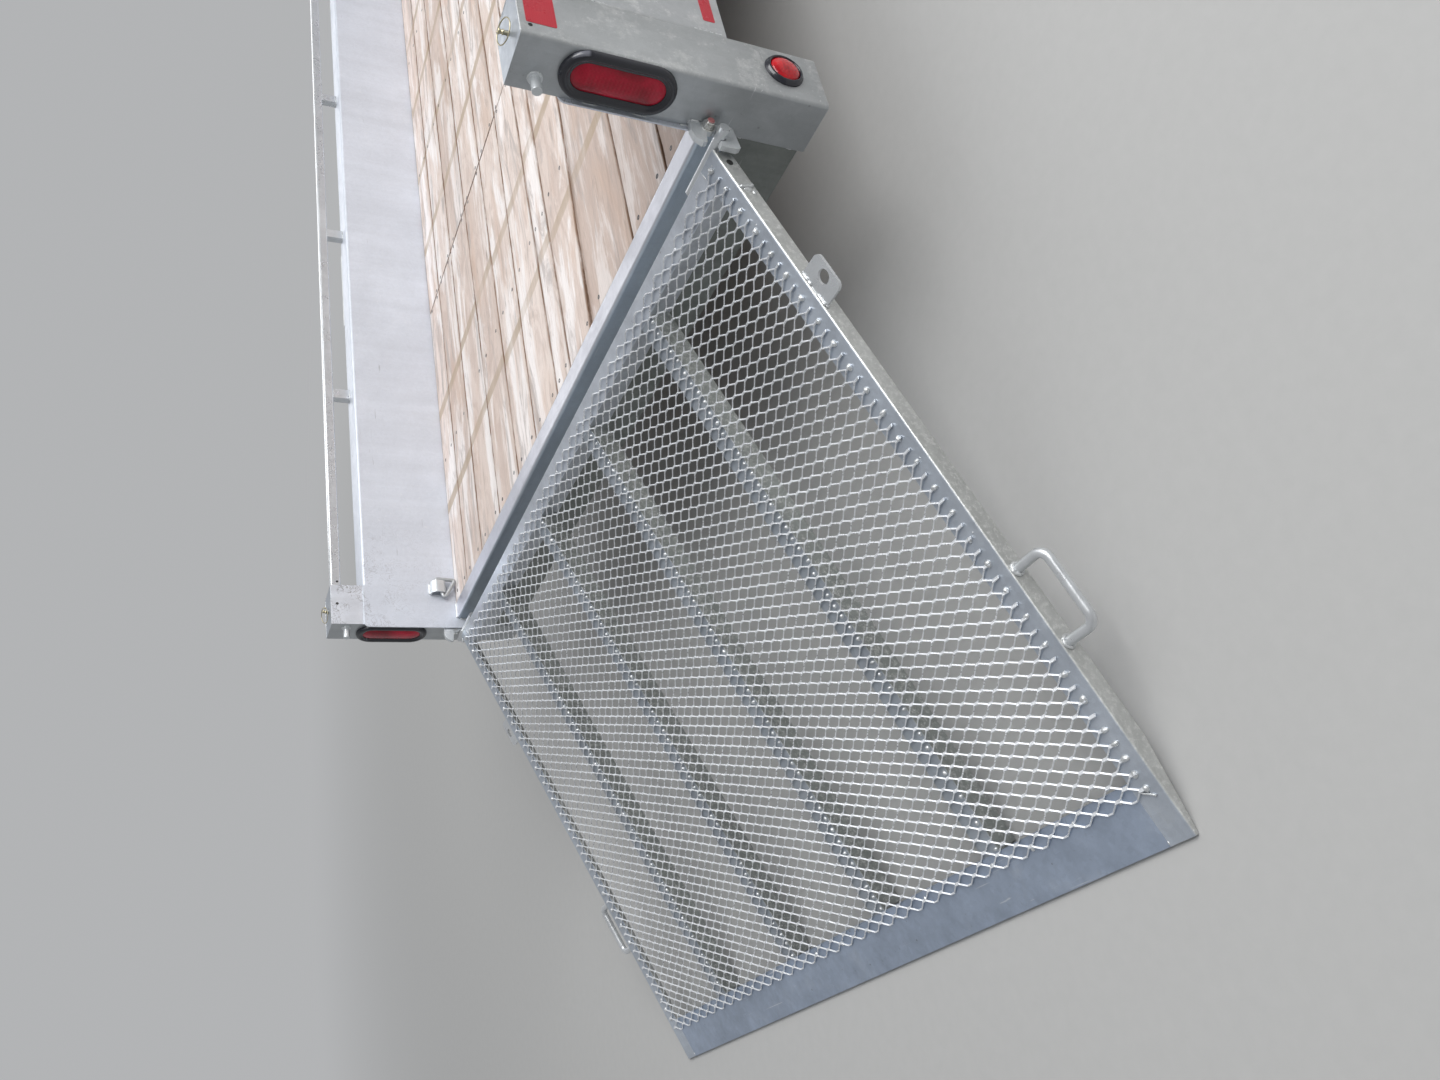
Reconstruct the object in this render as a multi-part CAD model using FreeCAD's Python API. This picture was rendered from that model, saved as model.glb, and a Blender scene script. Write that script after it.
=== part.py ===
import FreeCAD, Part
import os, math
from FreeCAD import Vector as V

# Single-axle utility trailer, 12 ft x 6 ft bed, box-section steel sides,
# plank deck, one-piece mesh ramp lowered to the ground, parked on its tongue jack.
# Millimetres. +X forward (towards the coupler), +Y left, +Z up, Z = 0 the ground.
# Stations are measured from the rear face of the rear posts; SHIFT moves the
# whole trailer so that the origin is at the middle of its box, on the ground.

# ---------------------------------------------------------------- driving sizes
BED_L = 3658.0          # rear post face to front wall face
WALL_OUT = 1012.0       # half width over the side walls and posts
WALL_IN = 911.3         # half width between the side walls
LAP_X = -9.0            # the inner sheet runs on this far past the posts
WALL_BOT = 476.0
WALL_TOP = 755.0
SHEET = 3.0             # formed side sheet
POST_IN = 914.3
POST_D = 122.0
POST_BOT = 308.0
POST_TOP = 842.0
POST_T = 5.0

DECK_TOP = 493.5
PLANK_T = 38.0
FRAME = 51.0            # frame rail and crossmember height
FRAME_TOP = DECK_TOP - PLANK_T
FRAME_BOT = FRAME_TOP - FRAME
FRAME_OUT = 913.0
FRAME_IN = FRAME_OUT - FRAME
TUBE_T = 4.8

BEAM_X0, BEAM_X1 = 20.0, 76.0
BEAM_BOT = 442.0
APRON_X = 4.0
APRON_BOT = 318.0
PLATE = 5.0

RAIL_D = 28.0           # top rail tube, square with round corners
RAIL_Y = 975.5          # its centre
RAIL_TOP = 834.0
UPRIGHT_W = 34.0
FRONT_POST = 62.0

AXLE_X = 1517.0
WHEEL_R = 305.0
TYRE_W = 177.0
WHEEL_Y = 1126.0
RIM_R = 166.0
AXLE_R = 30.15
SPINDLE_R = 17.5

FENDER_TOP = 716.0
FENDER_T = 3.0
FENDER_OUT = 1241.0
FENDER_FLAT = 168.0     # half of the flat top
FENDER_DROP = 213.0     # both the fall and the run of each sloping end
FENDER_SKIRT = 62.0     # short upright end
FENDER_LIP = 26.0

SPRING_Y = 888.0
SPRING_W = 45.0
SPRING_HALF = 317.0
EYE_Z = 338.0

TONGUE_H = 76.0
TONGUE_ANG = 25.0
TONGUE_TIP = 4830.0
TONGUE_END = 3000.0
BALL_X = 4900.0
BALL_Z = 440.0
BALL_R = 25.9           # socket for a 50.8 mm ball
NOSE_R = 42.0

JACK_X = 4640.0
JACK_OR = 28.5
JACK_LEG_R = 24.0
JACK_BOT = 240.0
JACK_TOP = 860.0
JACK_LEG_TOP = 600.0

RAMP_L = 1291.8         # hinge edge to toe along the slope
RAMP_W = 908.0          # half width
RAMP_HX, RAMP_HZ = -36.8, 489.4
TOE_T = 6.0
ANG = 50.0              # ramp angle leg
LEG = 32.0              # outer leg of the side rails
ANG_T = 5.0
BAR_R = 9.5             # hinge bar
BAR_S, BAR_N = -6.9, -11.6
TAB_S = 311.5

# ---------------------------------------------------------------- small helpers
parts = {}


def add(name, *shapes):
    if len(shapes) == 1:
        parts[name] = shapes[0]
    else:
        parts[name] = Part.makeCompound(list(shapes))


def box(x0, x1, y0, y1, z0, z1):
    return Part.makeBox(x1 - x0, y1 - y0, z1 - z0, V(x0, y0, z0))


def cyl(r, p, q):
    p, q = V(*p), V(*q)
    return Part.makeCylinder(r, (q - p).Length, p, q - p)


def poly(points, vec):
    w = Part.makePolygon([V(*p) for p in points] + [V(*points[0])])
    return Part.Face(w).extrude(V(*vec))


def ring_poly(outer, inner, vec):
    return poly(outer, vec).cut(poly(inner, vec))


def mirror(s):
    return s.mirror(V(0, 0, 0), V(0, 1, 0))


def fuse(*s):
    r = s[0].multiFuse(list(s[1:])) if len(s) > 1 else s[0]
    return r.removeSplitter()


def one(s):
    return s.Solids[0] if len(s.Solids) == 1 else s


def tube_y(x0, x1, z0, z1, y0, y1, t):
    return box(x0, x1, y0, y1, z0, z1).cut(
        box(x0 + t, x1 - t, y0 - 1, y1 + 1, z0 + t, z1 - t))


def tube_x(x0, x1, y0, y1, z0, z1, t):
    return box(x0, x1, y0, y1, z0, z1).cut(
        box(x0 - 1, x1 + 1, y0 + t, y1 - t, z0 + t, z1 - t))


def stadium_x(cy, cz, length, width, x0, x1):
    """Upright oval prism along X, centre cy, cz."""
    r = width / 2.0
    h = length / 2.0 - r
    a = Part.Arc(V(x0, cy - r, cz + h), V(x0, cy, cz + h + r), V(x0, cy + r, cz + h)).toShape()
    b = Part.LineSegment(V(x0, cy + r, cz + h), V(x0, cy + r, cz - h)).toShape()
    c = Part.Arc(V(x0, cy + r, cz - h), V(x0, cy, cz - h - r), V(x0, cy - r, cz - h)).toShape()
    d = Part.LineSegment(V(x0, cy - r, cz - h), V(x0, cy - r, cz + h)).toShape()
    return Part.Face(Part.Wire([a, b, c, d])).extrude(V(x1 - x0, 0, 0))


def revolve_y(points, cy=0.0):
    """Ring of (radius, y) points about the Y axis through 0, cy, 0."""
    w = Part.makePolygon([V(r, cy + y, 0) for r, y in points + [points[0]]])
    return Part.Face(w).revolve(V(0, 0, 0), V(0, 1, 0), 360)


# ---------------------------------------------------------------- bed: side walls
outer = [(POST_D, WALL_IN, FRAME_TOP), (POST_D, WALL_IN, WALL_TOP),
         (POST_D, WALL_OUT, WALL_TOP), (POST_D, WALL_OUT, WALL_BOT),
         (POST_D, 930, WALL_BOT), (POST_D, 930, FRAME_TOP)]
t = SHEET
inner = [(POST_D, WALL_IN + t, FRAME_TOP + t), (POST_D, WALL_IN + t, WALL_TOP - t),
         (POST_D, WALL_OUT - t, WALL_TOP - t), (POST_D, WALL_OUT - t, WALL_BOT + t),
         (POST_D, 930 - t, WALL_BOT + t), (POST_D, 930 - t, FRAME_TOP + t)]
wall_out = poly(outer, (BED_L - POST_D, 0, 0))
edges = [e for e in wall_out.Edges
         if abs(e.BoundBox.ZMin - WALL_TOP) < 0.01 and abs(e.BoundBox.ZMax - WALL_TOP) < 0.01
         and e.Length > 3000]
wall_out = wall_out.makeFillet(8.0, edges)
wall_in = poly(inner, (BED_L - POST_D, 0, 0))
edges = [e for e in wall_in.Edges
         if abs(e.BoundBox.ZMin - WALL_TOP + t) < 0.01 and abs(e.BoundBox.ZMax - WALL_TOP + t) < 0.01
         and e.Length > 3000]
wall_in = wall_in.makeFillet(5.0, edges)
wall = wall_out.cut(wall_in)
# the inner sheet runs on rearwards past the post, with a rounded top corner
lap = box(LAP_X, POST_D, WALL_IN, POST_IN, FRAME_TOP, WALL_TOP)
lap = lap.makeFillet(14.0, [e for e in lap.Edges
                            if abs(e.BoundBox.XMax - LAP_X) < 0.01 and abs(e.BoundBox.ZMin - WALL_TOP) < 0.01])
wall = one(fuse(wall, lap))
add("left_side_wall", wall)
add("right_side_wall", mirror(wall))

# front wall between the sides, and the two front corner posts above them
t = SHEET
fw = box(BED_L - 100, BED_L, -WALL_IN, WALL_IN, FRAME_TOP, WALL_TOP)
fw = fw.makeFillet(8.0, [e for e in fw.Edges if abs(e.BoundBox.ZMin - WALL_TOP) < 0.01
                         and abs(e.BoundBox.YLength - 2 * WALL_IN) < 0.1])
fw = fw.cut(box(BED_L - 100 + t, BED_L - t, -WALL_IN - 1, WALL_IN + 1, FRAME_TOP + t, WALL_TOP - t))
add("front_wall", one(fw))

fp = box(BED_L - FRONT_POST, BED_L, WALL_OUT - FRONT_POST - 6, WALL_OUT - 6, WALL_TOP, POST_TOP)
fp = fp.cut(box(BED_L - FRONT_POST + 4, BED_L - 4, WALL_OUT - FRONT_POST - 2, WALL_OUT - 10,
                WALL_TOP - 1, POST_TOP - 4))

# ---------------------------------------------------------------- rear posts
TL_Y, TL_Z = 965.5, 671.5      # tail lamp centre
ML_X, ML_Z = 66.0, 380.0       # side marker lamp centre
PIN_X, PIN_Y = 66.0, 958.0     # ring pin stored in the post's top
a = math.radians(22.7)
for _ in range(30):
    a = math.asin((RAMP_HZ - TOE_T * math.cos(a)) / RAMP_L)
SLOPE = a
ca, sa = math.cos(a), math.sin(a)
E = V(-ca, 0, -sa)             # down the ramp
N = V(-sa, 0, ca)              # out of its top face
HINGE = V(RAMP_HX, 0, RAMP_HZ) + E * BAR_S + N * BAR_N
# raised, the slope stands upright, so a point s along it stands s - BAR_S above the hinge
STUD_Z = HINGE.z + TAB_S - BAR_S
STUD_Y = 939.0
STUD_L = 31.5

post = box(0, POST_D, POST_IN, WALL_OUT, POST_BOT, POST_TOP)
vert = [e for e in post.Edges if e.BoundBox.ZLength > 400 and e.BoundBox.YMin > WALL_OUT - 1]
post = post.makeFillet(6.0, vert)
post = post.cut(box(POST_T, POST_D - POST_T, POST_IN + POST_T, WALL_OUT - POST_T,
                    POST_BOT - 1, POST_TOP - POST_T))
post = post.cut(stadium_x(TL_Y, TL_Z, 172, 67, -1, POST_T + 1))
post = post.cut(cyl(29.9, (ML_X, WALL_OUT - POST_T - 2, ML_Z), (ML_X, WALL_OUT + 1, ML_Z)))
post = post.cut(cyl(4.6, (PIN_X, PIN_Y, POST_TOP - 10), (PIN_X, PIN_Y, POST_TOP + 1)))
post = one(post)
add("rear_posts", post, mirror(post))

# oval tail lamps and round marker lamps in rubber grommets
g = stadium_x(TL_Y, TL_Z, 196, 90, -11, 0)
g = g.makeFillet(5.0, [e for e in g.Edges if abs(e.BoundBox.XMax + 11) < 0.01])
g = fuse(g, stadium_x(TL_Y, TL_Z, 172, 67, -1, 22))
g = one(g.cut(stadium_x(TL_Y, TL_Z, 156.6, 57.6, -12, 16)))
lens = stadium_x(TL_Y, TL_Z, 156.0, 57.0, -8, 14)
lens = lens.makeFillet(3.0, [e for e in lens.Edges if abs(e.BoundBox.XMax + 8) < 0.01])


def round_lamp(x, z, grommet_r=36.0, lens_r=25.4, depth=10.0):
    y = WALL_OUT
    gr = cyl(grommet_r, (x, y, z), (x, y + depth, z))
    gr = gr.makeFillet(6.0, [e for e in gr.Edges if abs(e.BoundBox.YMin - y - depth) < 0.01])
    gr = fuse(gr, cyl(lens_r + 4.5, (x, y - 20, z), (x, y + 1, z)))
    gr = one(gr.cut(cyl(lens_r + 0.5, (x, y - 14, z), (x, y + depth + 1, z))))
    le = cyl(lens_r, (x, y - 13, z), (x, y + depth - 1, z))
    le = le.makeFillet(4.0, [e for e in le.Edges if abs(e.BoundBox.YMin - y - depth + 1) < 0.01])
    return gr, le


rg, rl = round_lamp(ML_X, ML_Z)
fg, fl = round_lamp(3560.0, 640.0, 32.0, 22.5)
add("rear_lamp_lenses", lens, mirror(lens), rl, mirror(rl))
add("front_marker_lenses", fl, mirror(fl))
add("lamp_grommets", g, mirror(g), rg, mirror(rg), fg, mirror(fg))
hole = cyl(27.0, (3560.0, WALL_OUT - 10, 640.0), (3560.0, WALL_OUT + 1, 640.0))
parts["left_side_wall"] = one(parts["left_side_wall"].cut(hole))
parts["right_side_wall"] = mirror(parts["left_side_wall"])

# ramp latch studs, welded to the posts, and the ring pins that lock the raised ramp
stud = cyl(8.5, (0, STUD_Y, STUD_Z), (-STUD_L, STUD_Y, STUD_Z))
stud = stud.makeFillet(0.5, [e for e in stud.Edges if abs(e.BoundBox.XMax + STUD_L) < 0.01])
stud = stud.cut(cyl(2.4, (-27.6, STUD_Y, STUD_Z - 12), (-27.6, STUD_Y, STUD_Z + 12)))
stud = one(fuse(stud, cyl(12.0, (0, STUD_Y, STUD_Z), (-3, STUD_Y, STUD_Z))))
add("latch_studs", stud, mirror(stud))

pin = cyl(4.4, (PIN_X, PIN_Y, POST_TOP - 28), (PIN_X, PIN_Y, POST_TOP + 8))
head = cyl(6.5, (PIN_X, PIN_Y, POST_TOP + 2), (PIN_X, PIN_Y, POST_TOP + 13))
loop = Part.makeTorus(20.5, 2.1, V(PIN_X - 14.5, PIN_Y + 13.0, POST_TOP + 6.5), V(-0.10, 0.09, 1))
pin = one(fuse(pin, head, loop))
add("linch_pins", pin, mirror(pin))

# ---------------------------------------------------------------- top rails
rz0, rz1 = RAIL_TOP - RAIL_D, RAIL_TOP
ry0, ry1 = RAIL_Y - RAIL_D / 2, RAIL_Y + RAIL_D / 2


def rail_x(x0, x1, y0, y1, z0, z1, t=2.6):
    b = box(x0, x1, y0, y1, z0, z1)
    b = b.makeFillet(5.0, [e for e in b.Edges if e.BoundBox.XLength > 100])
    return one(b.cut(box(x0 - 1, x1 + 1, y0 + t, y1 - t, z0 + t, z1 - t)))


rail = rail_x(POST_D, BED_L - FRONT_POST, ry0, ry1, rz0, rz1)
frx = BED_L - 45.0
b = box(frx, frx + RAIL_D, -(WALL_OUT - FRONT_POST - 6), WALL_OUT - FRONT_POST - 6, rz0, rz1)
b = b.makeFillet(5.0, [e for e in b.Edges if e.BoundBox.YLength > 100])
b = b.cut(box(frx + 2.6, frx + RAIL_D - 2.6, -WALL_OUT, WALL_OUT, rz0 + 2.6, rz1 - 2.6))
add("top_rails", rail, mirror(rail), one(b))

UP_X = [835.0 + 686.0 * k for k in range(4)]
ups = [fp, mirror(fp)]
for x in UP_X:
    u = box(x - UPRIGHT_W / 2, x + UPRIGHT_W / 2, ry0 + 2, ry1 - 2, WALL_TOP, rz0)
    ups += [u, mirror(u)]
for y in (-430.0, 430.0):
    ups.append(box(frx + 2, frx + RAIL_D - 2, y - UPRIGHT_W / 2, y + UPRIGHT_W / 2, WALL_TOP, rz0))
add("rail_uprights", *ups)

# ---------------------------------------------------------------- floor frame
fr = tube_x(BEAM_X1, BED_L - FRAME, FRAME_IN, FRAME_OUT, FRAME_BOT, FRAME_TOP, TUBE_T)
add("frame_rails", one(fr), mirror(one(fr)))
add("front_beam", one(tube_y(BED_L - FRAME, BED_L, FRAME_BOT, FRAME_TOP, -FRAME_OUT, FRAME_OUT, TUBE_T)))

rb = box(BEAM_X0, BEAM_X1, -WALL_IN, WALL_IN, BEAM_BOT, DECK_TOP)
rb = rb.makeFillet(7.0, [e for e in rb.Edges if e.BoundBox.YLength > 1000 and e.BoundBox.ZMin > DECK_TOP - 1])
rb = rb.cut(box(BEAM_X0 + TUBE_T, BEAM_X1 - TUBE_T, -WALL_IN - 1, WALL_IN + 1, BEAM_BOT + TUBE_T, DECK_TOP - TUBE_T))
add("rear_beam", one(rb))
ap = fuse(box(APRON_X, APRON_X + PLATE, -POST_IN, POST_IN, APRON_BOT, BEAM_BOT),
          box(APRON_X, BEAM_X1, -WALL_IN, WALL_IN, BEAM_BOT - PLATE, BEAM_BOT),
          box(APRON_X, APRON_X + 40, -POST_IN, POST_IN, APRON_BOT, APRON_BOT + PLATE))
add("rear_apron", one(ap))

# crossmember stations, one under the plank joint
CROSS_X = [560.0, 1162.0, 1790.0, 2400.0, 3010.0]
cms = []
for x in CROSS_X:
    c = [(x - 25, -FRAME_IN, FRAME_BOT), (x + 25, -FRAME_IN, FRAME_BOT),
         (x + 25, -FRAME_IN, FRAME_BOT + PLATE), (x - 25 + PLATE, -FRAME_IN, FRAME_BOT + PLATE),
         (x - 25 + PLATE, -FRAME_IN, FRAME_TOP - PLATE), (x + 25, -FRAME_IN, FRAME_TOP - PLATE),
         (x + 25, -FRAME_IN, FRAME_TOP), (x - 25, -FRAME_IN, FRAME_TOP)]
    cms.append(poly(c, (0, 2 * FRAME_IN, 0)))
add("cross_members", *cms)

# deck planks: gap centres across the bed, and the butt joint between two lengths
GAP_Y = [-754.0, -589.0, -454.0, -320.0, -100.0, 64.0, 235.0, 417.0, 605.0, 775.0]
GAP = 5.0
JOINT_X = 1162.0
ys = [-WALL_IN + 1] + [v for gy in GAP_Y for v in (gy - GAP / 2, gy + GAP / 2)] + [WALL_IN - 1]
planks = []
for i in range(0, len(ys), 2):
    for x0, x1 in ((BEAM_X1 + 2, JOINT_X - 1), (JOINT_X + 1, BED_L - 102)):
        planks.append(box(x0, x1, ys[i], ys[i + 1], FRAME_TOP, DECK_TOP))
add("deck_planks", *planks)

# ---------------------------------------------------------------- fenders
f = FENDER_FLAT
d = FENDER_DROP
zt, zs = FENDER_TOP, FENDER_TOP - FENDER_DROP
prof = [(-f - d, zs - FENDER_SKIRT), (-f - d, zs), (-f, zt), (f, zt), (f + d, zs), (f + d, zs - FENDER_SKIRT)]
k = FENDER_T * math.tan(math.radians(22.5))
prof_in = [(-f - d + FENDER_T, zs - FENDER_SKIRT), (-f - d + FENDER_T, zs - k), (-f + k, zt - FENDER_T),
           (f - k, zt - FENDER_T), (f + d - FENDER_T, zs - k), (f + d - FENDER_T, zs - FENDER_SKIRT)]
pts = [(AXLE_X + x, WALL_OUT, z) for x, z in prof] + [(AXLE_X + x, WALL_OUT, z) for x, z in reversed(prof_in)]
fender = poly(pts, (0, FENDER_OUT - WALL_OUT, 0))
g1 = FENDER_LIP
kk = g1 * math.tan(math.radians(22.5))
prof_lip = [(-f - d + g1, zs - FENDER_SKIRT), (-f - d + g1, zs - kk), (-f + kk, zt - g1),
            (f - kk, zt - g1), (f + d - g1, zs - kk), (f + d - g1, zs - FENDER_SKIRT)]
pts = [(AXLE_X + x, FENDER_OUT - FENDER_T, z) for x, z in prof] + \
      [(AXLE_X + x, FENDER_OUT - FENDER_T, z) for x, z in reversed(prof_lip)]
fender = fuse(fender, poly(pts, (0, FENDER_T, 0)))
# two gussets under the flat, one behind and one ahead of the tyre's crown
for x in (-f, f):
    gpts = [(AXLE_X + x - 1.5, WALL_OUT, zt - FENDER_T), (AXLE_X + x - 1.5, WALL_OUT + 90, zt - FENDER_T),
            (AXLE_X + x - 1.5, WALL_OUT, zt - 70)]
    fender = fuse(fender, poly(gpts, (3, 0, 0)))
fender = one(fender)
add("fenders", fender, mirror(fender))

# ---------------------------------------------------------------- axle and springs
AZ = WHEEL_R
axle = fuse(cyl(AXLE_R, (AXLE_X, -1028, AZ), (AXLE_X, 1028, AZ)),
            cyl(SPINDLE_R, (AXLE_X, -1148, AZ), (AXLE_X, 1148, AZ)),
            box(AXLE_X - 35, AXLE_X + 35, SPRING_Y - 22, SPRING_Y + 22, 270.9, AZ - 20),
            box(AXLE_X - 35, AXLE_X + 35, -SPRING_Y - 22, -SPRING_Y + 22, 270.9, AZ - 20))
add("axle_beam", one(axle))

# leaves: half length and how far below the first leaf's top
LEAVES = [(SPRING_HALF, 0.0), (250.0, 6.0), (175.0, 12.0), (100.0, 18.0)]
sag = EYE_Z - 14.5 - 270.0
R0 = (SPRING_HALF ** 2 + sag ** 2) / (2 * sag)
spring = None
for half, down in LEAVES:
    r1, r2 = R0 + down, R0 + down + 6.0
    th = math.asin(min(half, SPRING_HALF) / R0)
    cz = 270.0 + R0

    def pt(r, ang):
        return V(AXLE_X + r * math.sin(ang), SPRING_Y - SPRING_W / 2, cz - r * math.cos(ang))
    w = Part.Wire([Part.Arc(pt(r1, -th), pt(r1, 0), pt(r1, th)).toShape(),
                   Part.LineSegment(pt(r1, th), pt(r2, th)).toShape(),
                   Part.Arc(pt(r2, th), pt(r2, 0), pt(r2, -th)).toShape(),
                   Part.LineSegment(pt(r2, -th), pt(r1, -th)).toShape()])
    leaf = Part.Face(w).extrude(V(0, SPRING_W, 0))
    spring = leaf if spring is None else spring.fuse(leaf)
for sx in (-1, 1):
    ex = AXLE_X + sx * SPRING_HALF
    spring = spring.fuse(cyl(18.0, (ex, SPRING_Y - SPRING_W / 2, EYE_Z), (ex, SPRING_Y + SPRING_W / 2, EYE_Z)))
    spring = spring.fuse(cyl(6.9, (ex, SPRING_Y - 40, EYE_Z), (ex, SPRING_Y + 40, EYE_Z)))
    for sy in (-1, 1):
        spring = spring.fuse(cyl(12.0, (ex, SPRING_Y + sy * 31.5, EYE_Z), (ex, SPRING_Y + sy * 40, EYE_Z)))
spring = one(spring.removeSplitter())
add("leaf_springs", spring, mirror(spring))

hang = []
for sx in (-1, 1):
    ex = AXLE_X + sx * SPRING_HALF
    h = box(ex - 24, ex + 24, SPRING_Y - 31, SPRING_Y + 31, EYE_Z - 24, FRAME_BOT)
    h = h.cut(box(ex - 30, ex + 30, SPRING_Y - 25, SPRING_Y + 25, EYE_Z - 30, FRAME_BOT - 7))
    h = h.cut(cyl(7.2, (ex, SPRING_Y - 40, EYE_Z), (ex, SPRING_Y + 40, EYE_Z)))
    hang += [one(h), mirror(one(h))]
add("spring_hangers", *hang)

cl = box(AXLE_X - 52, AXLE_X + 52, SPRING_Y - 42, SPRING_Y + 42, 236, 245.5)
for dy in (-30, 30):
    t1 = Part.makeTorus(37.5, 6.0, V(AXLE_X, SPRING_Y + dy, AZ), V(0, 1, 0))
    t1 = t1.common(box(AXLE_X - 60, AXLE_X + 60, SPRING_Y + dy - 10, SPRING_Y + dy + 10, AZ, AZ + 60))
    cl = cl.fuse(t1)
    for sx in (-1, 1):
        cl = cl.fuse(cyl(6.0, (AXLE_X + sx * 37.5, SPRING_Y + dy, 222), (AXLE_X + sx * 37.5, SPRING_Y + dy, AZ)))
        cl = cl.fuse(cyl(11.0, (AXLE_X + sx * 37.5, SPRING_Y + dy, 226), (AXLE_X + sx * 37.5, SPRING_Y + dy, 236)))
cl = one(cl.removeSplitter())
add("spring_clamps", cl, mirror(cl))

# ---------------------------------------------------------------- wheels
# half section of the tyre, radius and distance from the wheel plane
TYRE = [(166.0, 62.0), (186.0, 78.0), (235.0, 88.5), (275.0, 84.0), (294.0, 72.0), (302.5, 50.0), (305.0, 22.0)]
RIM = [(172.0, 70.0), (172.0, 62.5), (166.0, 62.0), (166.0, 40.0), (146.0, 28.0)]
tyre = revolve_y([(r, y) for r, y in TYRE] + [(r, -y) for r, y in reversed(TYRE)])
tyre = one(tyre)
bar_out = [(166.0, -62.0), (166.0, -40.0), (146.0, -26.0), (146.0, 26.0), (166.0, 40.0), (166.0, 62.0),
           (176.0, 70.0), (176.0, 73.0), (173.5, 73.0), (163.0, 64.0), (163.0, 41.5), (143.0, 27.5),
           (143.0, -27.5), (163.0, -41.5), (163.0, -64.0), (173.5, -73.0), (176.0, -73.0), (176.0, -70.0)]
rim = revolve_y(bar_out)
disc = [(143.5, -9.0), (143.5, 13.0), (139.0, 13.0), (122.0, 10.0), (84.0, 2.5), (42.0, 2.5),
        (42.0, -2.5), (84.0, -2.5), (122.0, 5.0), (138.5, 8.0), (138.5, -9.0)]
dsolid = revolve_y(disc)
for i in range(8):
    a0 = math.radians(22.5 + 45.0 * i)
    w = Part.makePolygon([V(r * math.cos(a0 + da), -30, r * math.sin(a0 + da)) for r, da in
                          ((92.0, 0.0), (126.0, math.radians(11.5)), (126.0, -math.radians(11.5)), (92.0, 0.0))])
    dsolid = dsolid.cut(Part.Face(w).extrude(V(0, 60, 0)))
for i in range(5):
    a0 = math.radians(90 + 72.0 * i)
    dsolid = dsolid.cut(cyl(7.2, (57.15 * math.cos(a0), -30, 57.15 * math.sin(a0)),
                            (57.15 * math.cos(a0), 30, 57.15 * math.sin(a0))))
rim = one(rim.fuse(dsolid).removeSplitter())
tyre = tyre.cut(revolve_y([(160.0, -80.0), (160.0, 80.0), (176.6, 80.0), (176.6, 69.6), (166.0, 61.6),
                           (166.0, -61.6), (176.6, -69.6), (176.6, -80.0)]))
tyre = one(tyre)
hub_pts = [(17.8, -84.0), (40.0, -84.0), (40.0, -16.0), (72.0, -14.0), (72.0, -2.5), (41.0, -2.5), (41.0, 4.0),
           (33.0, 8.0), (33.0, 34.0), (26.0, 36.0), (26.0, 56.0), (22.0, 60.0), (0.0, 60.0), (0.0, 24.0),
           (17.8, 24.0)]
hub = revolve_y(hub_pts)
for i in range(5):
    a0 = math.radians(90 + 72.0 * i)
    c, s = 57.15 * math.cos(a0), 57.15 * math.sin(a0)
    hub = hub.fuse(cyl(6.9, (c, -5, s), (c, 22, s)))
    hub = hub.fuse(cyl(10.5, (c, 2.5, s), (c, 20, s)))
hub = one(hub.removeSplitter())
for side, sgn in (("left", 1), ("right", -1)):
    for nm, sh in (("tyre", tyre), ("rim", rim), ("hub", hub)):
        q = sh if sgn > 0 else sh.mirror(V(0, 0, 0), V(0, 1, 0))
        q = q.copy()
        q.translate(V(AXLE_X, sgn * WHEEL_Y, WHEEL_R))
        add("%s_%s" % (side, nm), q)

# ---------------------------------------------------------------- tongue
ang = math.radians(TONGUE_ANG)
ta = math.tan(ang)
hw = 25.5 / math.cos(ang)
tz1, tz0 = FRAME_BOT, FRAME_BOT - TONGUE_H


def tongue_y(x):
    return 45.0 + (4800.0 - x) * ta


pts = [(TONGUE_END, tongue_y(TONGUE_END) - hw, tz0), (TONGUE_TIP, tongue_y(TONGUE_TIP) - hw, tz0),
       (TONGUE_TIP, tongue_y(TONGUE_TIP) + hw, tz0), (TONGUE_END, tongue_y(TONGUE_END) + hw, tz0)]
hi = hw - TUBE_T / math.cos(ang)
pti = [(TONGUE_END - 1, tongue_y(TONGUE_END - 1) - hi, tz0 + TUBE_T),
       (TONGUE_TIP + 1, tongue_y(TONGUE_TIP + 1) - hi, tz0 + TUBE_T),
       (TONGUE_TIP + 1, tongue_y(TONGUE_TIP + 1) + hi, tz0 + TUBE_T),
       (TONGUE_END - 1, tongue_y(TONGUE_END - 1) + hi, tz0 + TUBE_T)]
tr = one(poly(pts, (0, 0, TONGUE_H)).cut(poly(pti, (0, 0, TONGUE_H - 2 * TUBE_T))))
add("tongue_rails", tr, mirror(tr))

# coupler: pressed channel with splayed wings, a nose and a ball socket open below
cz0, cz1 = FRAME_BOT, FRAME_BOT + 58.0
cpts = [(4720, -101, cz0), (4851, -40, cz0), (BALL_X, -40, cz0), (BALL_X, 40, cz0), (4851, 40, cz0), (4720, 101, cz0)]
cin = [(4719, -95, cz0), (4849, -34, cz0), (BALL_X, -34, cz0), (BALL_X, 34, cz0), (4849, 34, cz0), (4719, 95, cz0)]
cp = poly(cpts, (0, 0, cz1 - cz0)).cut(poly(cin, (0, 0, cz1 - cz0 - 6)))
nose = cyl(NOSE_R, (BALL_X, 0, cz0), (BALL_X, 0, cz1 + 4))
nose = nose.makeFillet(8.0, [e for e in nose.Edges if abs(e.BoundBox.ZMin - cz1 - 4) < 0.01])
cp = cp.fuse(nose)
cp = cp.cut(Part.makeSphere(BALL_R, V(BALL_X, 0, cz0 + 26)))
cp = cp.cut(cyl(BALL_R, (BALL_X, 0, cz0 - 1), (BALL_X, 0, cz0 + 26)))
cp = one(cp.removeSplitter())
add("coupler", cp)
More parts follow.
